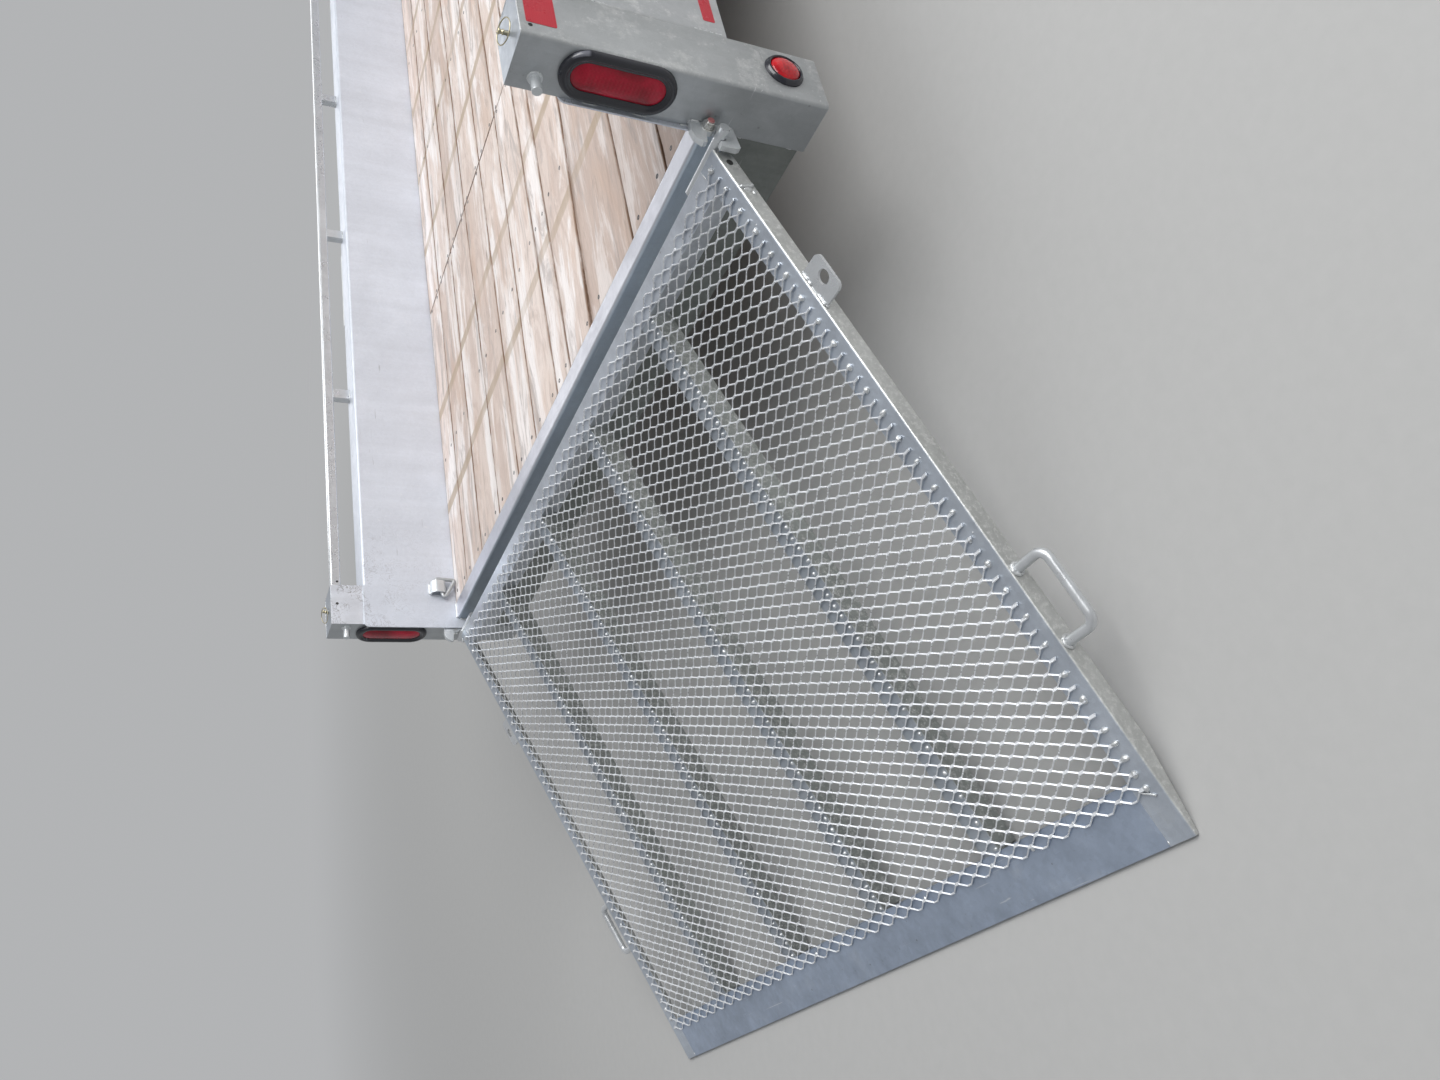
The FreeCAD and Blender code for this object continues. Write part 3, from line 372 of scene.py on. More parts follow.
def wood(name):
    """Weathered planks: tone is one random number a board, grain runs along X."""
    M = Mat(name)
    tone = M.n("ShaderNodeAttribute", attribute_name="tone").outputs["Fac"]
    seed = M.n("ShaderNodeAttribute", attribute_name="seed").outputs["Fac"]
    shift = M.n("ShaderNodeCombineXYZ")
    M.put(shift.inputs[0], M.math("MULTIPLY", seed, 17.0))
    M.put(shift.inputs[1], M.math("MULTIPLY", seed, 5.0))
    q = M.n("ShaderNodeVectorMath", operation="ADD")
    M.put(q.inputs[0], M.P)
    M.put(q.inputs[1], shift.outputs[0])
    P = q.outputs[0]
    broad = M.noise(1.0, 6.0, 0.64, M.map(scale=(1.7, 10.0, 4.0), vec=P), 0.7)
    streak = M.noise(1.0, 6.0, 0.68, M.map(scale=(4.0, 48.0, 20.0), vec=P), 0.5)
    fine = M.noise(1.0, 6.0, 0.72, M.map(scale=(9.0, 120.0, 50.0), vec=P), 0.9)
    fibre = M.noise(1.0, 5.0, 0.7, M.map(scale=(16.0, 460.0, 200.0), vec=P), 0.3)
    knots = M.vor(1.0, "Distance", M.map(scale=(2.1, 7.5, 2.0), vec=P))
    base = M.mix(tone, (0.60, 0.475, 0.41), (0.85, 0.745, 0.69))
    blot = M.mix(M.rng(M.noise(1.0, 5.0, 0.7, M.map(scale=(5.0, 15.0, 8.0), loc=(5.0, 2.0, 0.0), vec=P), 1.4),
                       0.46, 0.60, 0.0, 0.55), base, (0.58, 0.46, 0.405))
    # sun-bleached patches, hard on one side and feathered along the grain on the other
    pale = M.mix(M.math("MULTIPLY", M.rng(tone, 0.1, 0.6, 0.50, 0.92),
                        M.rng(M.math("ADD", broad, M.rng(fine, 0.3, 0.7, -0.05, 0.05)), 0.485, 0.565, 0.0, 1.0)), blot,
                 (0.95, 0.90, 0.885))
    grey = M.mix(M.rng(M.noise(1.0, 6.0, 0.70, M.map(scale=(2.6, 15.0, 5.0), loc=(3.0, 1.0, 0.0), vec=P), 1.2),
                       0.525, 0.62, 0.0, 0.66), pale, (0.45, 0.395, 0.375))
    tan = M.mix(M.rng(M.noise(1.0, 4.0, 0.6, M.map(scale=(1.6, 6.0, 3.0), loc=(9.0, 4.0, 0.0), vec=P), 0.8),
                      0.54, 0.68, 0.0, 0.50), grey, (0.66, 0.475, 0.365))
    dark = M.mix(M.rng(streak, 0.59, 0.74, 0.0, 0.62), tan, (0.29, 0.205, 0.155))
    dark = M.mix(M.rng(fine, 0.60, 0.72, 0.0, 0.55), dark, (0.33, 0.235, 0.18))
    dark = M.mix(M.rng(fine, 0.40, 0.28, 0.0, 0.35), dark, (0.90, 0.85, 0.82))
    kn = M.mix(M.rng(knots, 0.02, 0.075, 0.78, 0.0, True), dark, (0.20, 0.125, 0.08))
    v = M.math("MULTIPLY", M.rng(fibre, 0.25, 0.75, 0.84, 1.12), M.rng(tone, 0.1, 0.5, 0.885, 0.95))
    col = M.scale(kn, v)
    # bands where the boards lay on laths while they dried, a little askew from board to board
    p = M.sep(M.P)
    xx = M.math("ADD", p[0], M.math("ADD", M.math("MULTIPLY", seed, 0.028), M.math("MULTIPLY", p[1], 0.055)))
    band = None
    for sx in STAINS:
        d = M.math("ABSOLUTE", M.math("SUBTRACT", xx, sx / 1000.0 + SX + 0.014))
        b = M.rng(d, 0.014, 0.021, 1.0, 0.0, True)
        band = b if band is None else M.math("MAXIMUM", band, b)
    fade = M.rng(M.noise(1.0, 3.0, 0.6, M.map(scale=(5.0, 4.0, 4.0), vec=P)), 0.36, 0.56, 0.30, 0.78)
    col = M.mix(M.math("MULTIPLY", band, fade), col, (0.44, 0.345, 0.255))
    # a dark, damp rim along the sawn edges and the ends
    edge = M.n("ShaderNodeAttribute", attribute_name="rim").outputs["Fac"]
    en = M.noise(1.0, 5.0, 0.7, M.map(scale=(9.0, 90.0, 40.0), vec=P), 0.5)
    col = M.mix(M.math("MULTIPLY", edge, M.rng(en, 0.34, 0.56, 0.35, 1.0)), col, (0.20, 0.12, 0.078))
    h = M.math("ADD", M.math("MULTIPLY", fibre, 0.5), M.math("MULTIPLY", streak, 0.8))
    M.set(Base_Color=col, Roughness=M.rng(streak, 0.3, 0.7, 0.68, 0.86), Normal=M.bump(h, 0.45, 0.0016))
    M.b.inputs["Specular IOR Level"].default_value = 0.25
    return M.m


# the tones given for sides, inner, tops, backs and fore below are painted light and shade, one for each way a face
# looks
WALL = galv("galv_wall", (0.68, 0.715, 0.79), metal=0.40, rough=(0.46, 0.60), patch=0.045, streak=0.05,
            spangle=0.02, bloom=0.20, speck=0.75, lump=0.14, off=1.3, bloom_col=(0.78, 0.79, 0.83), edge=0.5, scr=0.5,
            sides=(0.42, 0.432, 0.445), crust=(24.0, 0.53, 0.67, 0.30), inner=(0.665, 0.70, 0.77),
            painted_fore_tone=(0.42, 0.432, 0.445), fleck=(34.0, 0.75, 0.05), seam=True)
POST = galv("galv_post", (0.450, 0.472, 0.490), metal=0.66, rough=(0.36, 0.44), patch=0.09, streak=0.08,
            spangle=0.015, bloom=0.20, speck=0.35, lump=0.20, off=2.9, sides=(0.425, 0.440, 0.450),
            crust=(24.0, 0.51, 0.66, 0.34), tops=(0.355, 0.39, 0.44), inner=(0.79, 0.83, 0.895), edge=0.8, scr=0.5,
            fade=(0.30, 0.62, 0.86, 1.04), fleck=(34.0, 0.85, 0.85), seam=True)
BEAM = galv("galv_beam", (0.375, 0.435, 0.50), metal=0.72, rough=(0.34, 0.44), patch=0.09, streak=0.06,
            spangle=0.02, bloom=0.16, speck=0.35, lump=0.2, lay=(26.0, 1.6, 26.0), off=4.1,
            tops=(0.60, 0.605, 0.66), painted_back_tone=(0.62, 0.71, 0.80), edge=0.3, scr=0.35, shade_lean=(-0.85, 0.85, 1.0, 0.58))
APRON = galv("galv_apron", (0.240, 0.256, 0.245), metal=0.7, rough=(0.36, 0.50), patch=0.12, streak=0.10,
             spangle=0.03, bloom=0.14, speck=0.35, lump=0.2, off=5.7, edge=0.3, scr=0.3)
RAMPM = galv("galv_ramp", (0.60, 0.635, 0.695), metal=0.70, rough=(0.34, 0.46), patch=0.10, streak=0.07,
             spangle=0.03, bloom=0.30, speck=0.35, lump=0.24, lay=(2.0, 26.0, 26.0), off=8.8, edge=0.7, scr=0.4)
RAIL = galv("galv_side_rail", (0.50, 0.545, 0.61), metal=0.74, rough=(0.34, 0.46), patch=0.12, streak=0.07,
            spangle=0.04, bloom=0.30, speck=0.45, lump=0.28, lay=(2.0, 26.0, 26.0), off=8.8, sides=(0.53, 0.54, 0.53), edge=0.8)
TOE = galv("galv_toe", (0.39, 0.455, 0.565), metal=0.74, rough=(0.38, 0.50), patch=0.12, streak=0.07,
           spangle=0.04, bloom=0.22, speck=0.5, lump=0.26, off=8.8, size=100.0, edge=0.3, scr=0.5)
STRAND = galv("galv_mesh", (0.84, 0.86, 0.885), metal=0.62, rough=(0.28, 0.42), patch=0.08, streak=0.04,
              spangle=0.05, bloom=0.12, speck=0.0, lump=0.15, size=260.0, off=9.4)
STIFF = galv("galv_stiffener", (0.40, 0.435, 0.48), metal=0.72, rough=(0.36, 0.50), patch=0.10, streak=0.06,
             spangle=0.05, bloom=0.34, speck=0.35, lump=0.3, lay=(2.0, 26.0, 26.0), off=10.3, sides=(0.36, 0.38, 0.37),
             edge=0.6)
BRIGHT = galv("galv_tube", (0.66, 0.68, 0.70), metal=0.74, rough=(0.30, 0.38), patch=0.08, streak=0.05,
              spangle=0.02, bloom=0.20, speck=0.2, lump=0.10, off=11.6)
BRACKET = galv("galv_bracket", (0.70, 0.73, 0.75), metal=0.55, rough=(0.32, 0.42), patch=0.10, streak=0.05,
               spangle=0.02, bloom=0.30, speck=0.2, lump=0.10, off=15.6, edge=0.7)
FRAMEM = galv("galv_frame", (0.50, 0.52, 0.53), metal=0.72, rough=(0.38, 0.54), patch=0.11, streak=0.07,
              spangle=0.05, bloom=0.25, speck=0.45, lump=0.3, lay=(2.0, 26.0, 26.0), off=12.8, dirt=0.18, edge=0.4)
FENDER = galv("galv_fender", (0.58, 0.60, 0.615), metal=0.6, rough=(0.40, 0.54), patch=0.07, streak=0.06,
              spangle=0.04, bloom=0.25, speck=0.5, lump=0.2, off=13.5, edge=0.5, scr=0.5)
WELD = galv("galv_weld", (0.66, 0.68, 0.69), metal=0.66, rough=(0.30, 0.44), patch=0.14, streak=0.05,
            spangle=0.04, bloom=0.35, speck=0.2, lump=0.25, size=320.0, off=14.9)
# near-black discs of painted shade that stand for holes
HOLE_SHADE_DISC = paint("hole_shadow", (0.012, 0.012, 0.012), (0.6, 0.8), (0.05, 0.05, 0.05), 0.2)
ZINC = zinc("zinc_plate", (0.70, 0.705, 0.70), (0.22, 0.36))
ZINC_Y = zinc("zinc_yellow", (0.56, 0.50, 0.34), (0.26, 0.42))
BLACK = rubber("grommet_rubber", (0.010, 0.011, 0.018), (0.13, 0.28), 0.70, dust=0.10, dust_col=(0.06, 0.066, 0.085),
               flank_highlight=(0.21, 0.215, 0.25))
TYRE = rubber("tyre_rubber", (0.028, 0.028, 0.029), (0.62, 0.82), 0.35, scale=420.0, dust=0.55,
              dust_col=(0.115, 0.108, 0.095))
GRIP = rubber("grip_vinyl", (0.02, 0.02, 0.021), (0.4, 0.55), 0.45, scale=500.0, dust=0.2)
RED = lens("lens_red", (0.24, 0.003, 0.014), (0.58, 0.007, 0.038), size=0.6, ribs=0.09, blot=14.0)
RED_M = lens("lens_red_marker", (0.22, 0.003, 0.008), (0.56, 0.005, 0.012), ribs=0.12, blot=34.0, size=0.55, coat=0.45)
AMBER = lens("lens_amber", (0.62, 0.16, 0.012), (0.90, 0.33, 0.035))
RIM = paint("rim_silver", (0.62, 0.625, 0.635), (0.26, 0.38), (0.42, 0.42, 0.42), 0.2, 0.55)
DARK = paint("black_steel", (0.030, 0.030, 0.032), (0.34, 0.5), (0.22, 0.17, 0.13), 0.5)
LEAF = paint("spring_steel", (0.045, 0.042, 0.040), (0.42, 0.58), (0.24, 0.15, 0.09), 0.75)
TAPE_R = tape("tape_red", (0.41, 0.012, 0.027), 260.0)
PLANK = wood("plank_wood")

ASSIGN = {
    "left_side_wall": WALL, "right_side_wall": WALL, "front_wall": WALL,
    "rear_posts": POST, "lamp_grommets": BLACK, "rear_lamp_lenses": RED, "front_marker_lenses": AMBER,
    "latch_studs": BRACKET, "linch_pins": ZINC_Y, "top_rails": BRIGHT, "rail_uprights": BRIGHT,
    "frame_rails": FRAMEM, "front_beam": FRAMEM, "rear_beam": BEAM, "rear_apron": APRON,
    "cross_members": FRAMEM, "deck_planks": PLANK, "fenders": FENDER, "axle_beam": DARK,
    "leaf_springs": LEAF, "spring_hangers": FRAMEM, "spring_clamps": ZINC,
    "left_tyre": TYRE, "right_tyre": TYRE, "left_rim": RIM, "right_rim": RIM,
    "left_hub": DARK, "right_hub": DARK, "tongue_rails": FRAMEM, "coupler": BRIGHT,
    "coupler_latch": ZINC, "jack_tube": BRIGHT, "jack_crank": ZINC, "jack_leg": BRIGHT,
    "tie_downs": ZINC, "ramp_side_rails": RAIL, "ramp_hinge_rail": RAMPM, "ramp_toe_plate": TOE,
    "ramp_stiffeners": STIFF, "ramp_mesh": STRAND, "ramp_hinge_bars": BRIGHT, "ramp_latch_tabs": BRIGHT,
    "ramp_handles": BRIGHT, "hinge_brackets": BRACKET, "hinge_keeper_bolts": ZINC,
}
for name, ob in NODES.items():
    mat = ASSIGN[name]
    ob.data.materials.clear()
    ob.data.materials.append(mat)


# ------------------------------------------------------------------ mesh helpers
class Soup:
    """Collects faces for one piece."""

    def __init__(self):
        self.v, self.f, self.mi, self.sm = [], [], [], []

    def add(self, verts, faces, mat=0, smooth=False):
        o = len(self.v)
        self.v.extend(tuple(p) for p in verts)
        for f in faces:
            self.f.append(tuple(i + o for i in f))
            self.mi.append(mat)
            self.sm.append(smooth)

    def make(self, name, body, mats, replaces=(), slot=None):
        me = bpy.data.meshes.new(name)
        me.from_pydata(self.v, [], self.f)
        me.polygons.foreach_set("material_index", self.mi)
        me.polygons.foreach_set("use_smooth", self.sm)
        for mt in mats:
            me.materials.append(mt)
        me.validate()
        me.update()
        ob = bpy.data.objects.new(name, me)
        scene.collection.objects.link(ob)
        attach(ob, body)
        if replaces:
            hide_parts(*replaces)
        return ob

    # solids -----------------------------------------------------
    def hexa(self, p, mat=0, smooth=False):
        """Eight corners: four low, then four high, both the same way round."""
        self.add(p, [(3, 2, 1, 0), (4, 5, 6, 7), (0, 1, 5, 4), (1, 2, 6, 5), (2, 3, 7, 6), (3, 0, 4, 7)], mat, smooth)

    def tube(self, path, radius, sides=10, caps=True, mat=0, smooth=True, closed=False, squash=None):
        """A tube along a path; radius may be a list. squash=(axis, factor) flattens it."""
        pts = [Vector(p) for p in path]
        n = len(pts)
        rad = radius if isinstance(radius, (list, tuple)) else [radius] * n
        tang = []
        for i in range(n):
            a = pts[(i - 1) % n] if (closed or i > 0) else pts[i]
            b = pts[(i + 1) % n] if (closed or i < n - 1) else pts[i]
            tang.append((b - a).normalized())
        ref = Vector((0, 0, 1)) if abs(tang[0].z) < 0.9 else Vector((1, 0, 0))
        nr = (ref - tang[0] * ref.dot(tang[0])).normalized()
        verts, rings = [], []
        for i in range(n):
            nr = (nr - tang[i] * nr.dot(tang[i])).normalized()
            bn = tang[i].cross(nr)
            ring = []
            for k in range(sides):
                a = 2 * math.pi * k / sides
                d = nr * math.cos(a) + bn * math.sin(a)
                if squash:
                    ax, fac = squash
                    d = d - ax * d.dot(ax) * (1.0 - fac)
                ring.append(len(verts))
                verts.append(pts[i] + d * rad[i])
            rings.append(ring)
        faces = []
        for i in range(n if closed else n - 1):
            a, b = rings[i], rings[(i + 1) % n]
            for k in range(sides):
                k2 = (k + 1) % sides
                faces.append((a[k], a[k2], b[k2], b[k]))
        if caps and not closed:
            faces.append(tuple(reversed(rings[0])))
            faces.append(tuple(rings[-1]))
        self.add(verts, faces, mat, smooth)

    def ring_solid(self, c, axis, prof, sides=6, mat=0, phase=0.0, smooth=False):
        """Turned or hexagonal solid: prof = (radius, distance along axis) pairs, closed at both ends."""
        axis = axis.normalized()
        ref = Vector((0, 0, 1)) if abs(axis.z) < 0.9 else Vector((1, 0, 0))
        u = (ref - axis * ref.dot(axis)).normalized()
        w = axis.cross(u)
        verts, rings = [], []
        for r, h in prof:
            ring = []
            for k in range(sides):
                a = 2 * math.pi * k / sides + phase
                ring.append(len(verts))
                verts.append(c + axis * h + (u * math.cos(a) + w * math.sin(a)) * r)
            rings.append(ring)
        faces = []
        for a, b in zip(rings, rings[1:]):
            for k in range(sides):
                k2 = (k + 1) % sides
                faces.append((a[k], a[k2], b[k2], b[k]))
        faces.append(tuple(reversed(rings[0])))
        faces.append(tuple(rings[-1]))
        self.add(verts, faces, mat, smooth)

    def bolt(self, c, axis, af=0.0095, h=0.0085, mat=0, phase=0.3, washer=True, end=0.0):
        """Hex head or nut with a washer, and end = a bit of thread standing out."""
        o = 0.0
        if washer:
            self.ring_solid(c, axis, [(af * 1.25, -0.0005), (af * 1.25, 0.0014), (af * 1.18, 0.002)], 20, mat)
            o = 0.002
        self.ring_solid(c, axis, [(af * 0.97, o), (af * 1.02, o + 0.0006), (af * 1.02, o + h - 0.0016),
                                  (af * 0.86, o + h)], 6, mat, phase)
        if end:
            prof = [(af * 0.52, o + h)]
            k = 0
            z = o + h
            while z < o + h + end:
                prof.append((af * (0.55 if k % 2 else 0.49), z))
                z += 0.0009
                k += 1
            prof.append((af * 0.40, o + h + end))
            self.ring_solid(c, axis, prof, 14, mat)

    def bead(self, path, r=0.0035, rnd=None, step=0.0030, mat=0, squash=None):
        """A lumpy run of weld along straight pieces of path."""
        pts = [Vector(p) for p in path]
        dense, rad = [], []
        for a, b in zip(pts, pts[1:]):
            L = (b - a).length
            k = max(2, int(L / step))
            for i in range(k + (1 if b is pts[-1] else 0)):
                f = i / k
                p = a.lerp(b, f)
                dense.append(p + Vector((rnd.uniform(-1, 1), rnd.uniform(-1, 1), rnd.uniform(-1, 1))) * r * 0.12)
                rad.append(r * (1.0 + 0.16 * math.sin(i * 2.1) + rnd.uniform(-0.14, 0.16)))
        rad[0] *= 0.6
        rad[-1] *= 0.6
        self.tube(dense, rad, 7, True, mat, True, squash=squash)

    def blob(self, c, ax, r, h, rnd, mat=0, seg=9, rings=4):
        """A dome of weld metal of radius r and height h standing along ax."""
        ax = ax.normalized()
        ref = Vector((0, 1, 0)) if abs(ax.y) < 0.9 else Vector((1, 0, 0))
        u = (ref - ax * ref.dot(ax)).normalized()
        w = ax.cross(u)
        el, ph = rnd.uniform(0.78, 1.25), rnd.uniform(0, 6.28)
        verts, faces = [], []
        for i in range(rings + 1):
            t = i / rings * math.pi / 2
            for k in range(seg):
                a = 2 * math.pi * k / seg
                rr = r * math.cos(t) * (1 + 0.12 * math.sin(3 * a + ph)) * (1 + rnd.uniform(-0.06, 0.06))
                d = u * math.cos(a) * rr * el + w * math.sin(a) * rr / el
                verts.append(c + d + ax * (h * math.sin(t) * (1 + rnd.uniform(-0.05, 0.05))))
        for i in range(rings):
            for k in range(seg):
                k2 = (k + 1) % seg
                faces.append((i * seg + k, i * seg + k2, (i + 1) * seg + k2, (i + 1) * seg + k))
        self.add(verts, faces, mat, True)


def both(fn):
    for sgn in (1, -1):
        fn(sgn)


RND = random.Random(4711)


# ------------------------------------------------------------------ expanded mesh on the ramp
def ramp_mesh():
    pitch_s, pitch_y = 11.885, 51.6
    rows = 102
    s0 = 19.3
    w, th, tilt, hb = 2.9, 2.2, math.radians(40.0), 5.6
    T = (math.cos(tilt), math.sin(tilt))
    Mn = (-math.sin(tilt), math.cos(tilt))
    nc = 2.9
    rnd = random.Random(99)
    sp = Soup()

    def quad(s, y, n, half):
        """Section corners in (s, n) around s, n: half along T, th across."""
        out = []
        for a, b in ((-1, -1), (1, -1), (1, 1), (-1, 1)):
            out.append(RP(s + T[0] * half * a + Mn[0] * th / 2 * b, y, n + T[1] * half * a + Mn[1] * th / 2 * b))
        return out

    bonds = []
    for i in range(rows):
        s = s0 + pitch_s * i
        ks = [k for k in range(-17, 18)] if i % 2 == 0 else [k + 0.5 for k in range(-17, 17)]
        row = {}
        for k in ks:
            j = (rnd.uniform(-0.35, 0.35), rnd.uniform(-0.5, 0.5), rnd.uniform(-0.15, 0.15))
            row[k] = (s + j[0], pitch_y * k + j[1], nc + j[2])
        bonds.append(row)
    for i, row in enumerate(bonds):
        for k, (s, y, n) in row.items():
            y0, y1 = y - hb, y + hb
            if k == 17:
                y1 = 885.5
            if k == -17:
                y0 = -885.5
            first, last = i == 0, i == rows - 1
            if first or last:
                # the sheet's cut edge: half a bond
                c = w / 2 if first else -w / 2
                q0 = quad(s + T[0] * c, y0, n + T[1] * c, w / 2)
                q1 = quad(s + T[0] * c, y1, n + T[1] * c, w / 2)
            else:
                q0, q1 = quad(s, y0, n, w), quad(s, y1, n, w)
            sp.hexa(q0 + q1)
            if i + 1 < rows:
                nxt = bonds[i + 1]
                for dk in (-0.5, 0.5):
                    k2 = k + dk
                    if k2 not in nxt:
                        continue
                    s2, y2, n2 = nxt[k2]
                    sg = 1 if dk > 0 else -1
                    a = quad(s + T[0] * w / 2, y + sg * (hb - 0.6), n + T[1] * w / 2, w / 2)
                    b = quad(s2 - T[0] * w / 2, y2 - sg * (hb - 0.6), n2 - T[1] * w / 2, w / 2)
                    if sg > 0:
                        sp.add(a + b, [(0, 1, 5, 4), (1, 2, 6, 5), (2, 3, 7, 6), (3, 0, 4, 7)])
                    else:
                        sp.add(b + a, [(0, 1, 5, 4), (1, 2, 6, 5), (2, 3, 7, 6), (3, 0, 4, 7)])
    return sp.make("ramp_expanded_mesh", "ramp", [STRAND], ("ramp_mesh",), "galv_bright"), bonds


mesh_obj, BONDS = ramp_mesh()


# ------------------------------------------------------------------ weld metal on the ramp
def ramp_welds():
    sp = Soup()
    rnd = random.Random(17)
    # mesh lines tacked to the side rails and stiffeners
    for i, row in enumerate(BONDS):
        if i % 2:
            continue
        s = row[0][0]
        if (i // 2) % 2 == 0 or i > 92:
            for sg in (1, -1):
                yy = sg * (881.0 + rnd.uniform(-2.5, 2.5))
                c = RP(s + rnd.uniform(-2, 2), yy, -0.6)
                sp.blob(c, N, 0.0056 * rnd.uniform(0.8, 1.3), 0.0060 * rnd.uniform(0.85, 1.2), rnd)
                if rnd.random() < 0.4:
                    sp.blob(RP(s + rnd.uniform(-9, 9), yy + sg * rnd.uniform(4, 13), -0.3), N, 0.0016, 0.0012, rnd, 0, 6, 2)
        for y in (-547.0, -182.0, 182.0, 547.0):
            if 50 < s < 1192 and rnd.random() < 0.8:
                c = RP(s + rnd.uniform(-3, 3), y + rnd.uniform(3, 11), -0.6)
                sp.blob(c, N, 0.0042 * rnd.uniform(0.8, 1.2), 0.0048 * rnd.uniform(0.8, 1.2), rnd, 0, 7, 3)
    for k in range(-17, 18):
        y = 51.6 * k
        if k % 2 == 0:
            sp.blob(RP(29 + rnd.uniform(-3, 3), y + 20.0 + rnd.uniform(-3, 3), -0.5), N, 0.0040, 0.0044, rnd, 0, 8, 3)
            sp.blob(RP(1209 + rnd.uniform(-3, 3), y + rnd.uniform(-3, 3), -0.5), N, 0.0048, 0.0048, rnd, 0, 8, 3)
    # a strand end left bent down at the near corner of the toe
    sp.tube([RP(1208, -869, 3.2), RP(1213, -875, 2.6), RP(1219, -886, 1.4), RP(1223, -891, 0.9)], [0.0016, 0.0017, 0.0019, 0.0021], 7)
    for sg in (1, -1):
        # seams: hinge rail and toe plate to side rail, and the side rail's own joint
        sp.bead([RP(6, sg * 858, -0.6), RP(20, sg * 858, -0.6)], 0.0018, rnd)
        sp.bead([RP(1283, sg * 858, -0.8), RP(1290, sg * 858, -0.8)], 0.0018, rnd)
        sp.bead([RP(84, sg * 905, -3.0), RP(86, sg * 909.0, -6.0), RP(88, sg * 909.3, -30.0)], 0.0036, rnd)
        sp.blob(RP(92, sg * 908.0, -16), Vector((0, sg, 0)), 0.0075, 0.0026, rnd, 0, 9, 3)
        sp.blob(RP(101, sg * 908.0, -25), Vector((0, sg, 0)), 0.0050, 0.0018, rnd, 0, 8, 3)
        # latch tab, three sides of its root
        for a, b in (((275.5, -10.8), (275.5, -4.8)), ((347.5, -10.8), (347.5, -4.8))):
            sp.bead([RP(a[0], sg * 909, a[1]), RP(b[0], sg * 909, b[1])], 0.0034, rnd)
        sp.bead([RP(277, sg * 909.2, -4.6), RP(303, sg * 909.2, -4.4)], 0.0030, rnd)
        sp.bead([RP(322, sg * 909.2, -4.6), RP(346, sg * 909.2, -4.4)], 0.0030, rnd)
        # handle roots
        for s in (857.0, 984.0):
            ring = []
            for k in range(19):
                a = 2 * math.pi * k / 18
                ring.append(RP(s + 9.6 * math.cos(a), sg * (909.4 + 0.6 * math.sin(3 * a)), -14 + 9.6 * math.sin(a)))
            sp.bead(ring, 0.0030, rnd, 0.003)
        # hinge bars along the hinge rail's edge
        for a, b in ((802, 838), (868, 898)):
            sp.bead([RP(0.4, sg * a, -6.2), RP(0.4, sg * b, -6.2)], 0.0034, rnd)
        sp.bead([RP(49, sg * 858, -6), RP(49, sg * 858, -30)], 0.0030, rnd)
    for y in (-547.0, -182.0, 182.0, 547.0):
        sp.bead([RP(51.5, y + 3, -6), RP(51.5, y + 40, -6)], 0.0028, rnd)
        sp.bead([RP(1191, y + 3, -7), RP(1191, y + 40, -7)], 0.0028, rnd)
    return sp.make("ramp_weld_metal", "ramp", [WELD], (), "galv_bright")


ramp_welds()


def ramp_extras():
    """The side rails' small drain holes, as thin dark discs of painted shade."""
    sp = Soup()
    for sg in (1, -1):
        y = sg * 908.15
        c = RP(32.0, 0, -17.0)
        c = Vector((c.x, y / 1000.0, c.z))
        # a thin dark disc of painted shade over each drain hole
        sp.ring_solid(c - Vector((0, sg * 0.0004, 0)), Vector((0, sg, 0)), [(0.0064, 0.0), (0.0064, 0.0003)], 20)
    return sp.make("ramp_drain_hole_shade", "ramp", [HOLE_SHADE_DISC], (), "galv")


ramp_extras()


# ------------------------------------------------------------------ lamps
def outline_oval(cy, cz, L, Wd, sg):
    """Points of an upright stadium pulled in by d, at station x (mm)."""
    h = L / 2.0 - Wd / 2.0

    def at(d, x):
        r = Wd / 2.0 - d
        pts = []
        for k in range(17):
            a = math.pi * k / 16
            pts.append(MM(x, sg * (cy + r * math.cos(a)), cz + h + r * math.sin(a)))
        for k in range(17):
            a = math.pi + math.pi * k / 16
            pts.append(MM(x, sg * (cy + r * math.cos(a)), cz - h + r * math.sin(a)))
        return pts
    return at


def outline_round(cx, cz, R, sg):
    def at(d, y):
        r = max(R - d, 0.05)
        return [MM(cx + r * math.cos(2 * math.pi * k / 40), sg * y, cz + r * math.sin(2 * math.pi * k / 40)) for k in range(40)]
    return at


def loft(sp, at, prof, mat=0, cap=False, flip=False):
    """Skin through the outline pulled in by d at depth x for each (d, x)."""
    verts, n = [], 0
    for d, x in prof:
        ring = at(d, x)
        n = len(ring)
        verts += ring
    faces = []
    for i in range(len(prof) - 1):
        for k in range(n):
            k2 = (k + 1) % n
            f = (i * n + k, i * n + k2, (i + 1) * n + k2, (i + 1) * n + k)
            faces.append(tuple(reversed(f)) if flip else f)
    if cap:
        f = tuple((len(prof) - 1) * n + k for k in range(n))
        faces.append(tuple(reversed(f)) if flip else f)
        f = tuple(range(n))
        faces.append(f if flip else tuple(reversed(f)))
    sp.add(verts, faces, mat, True)


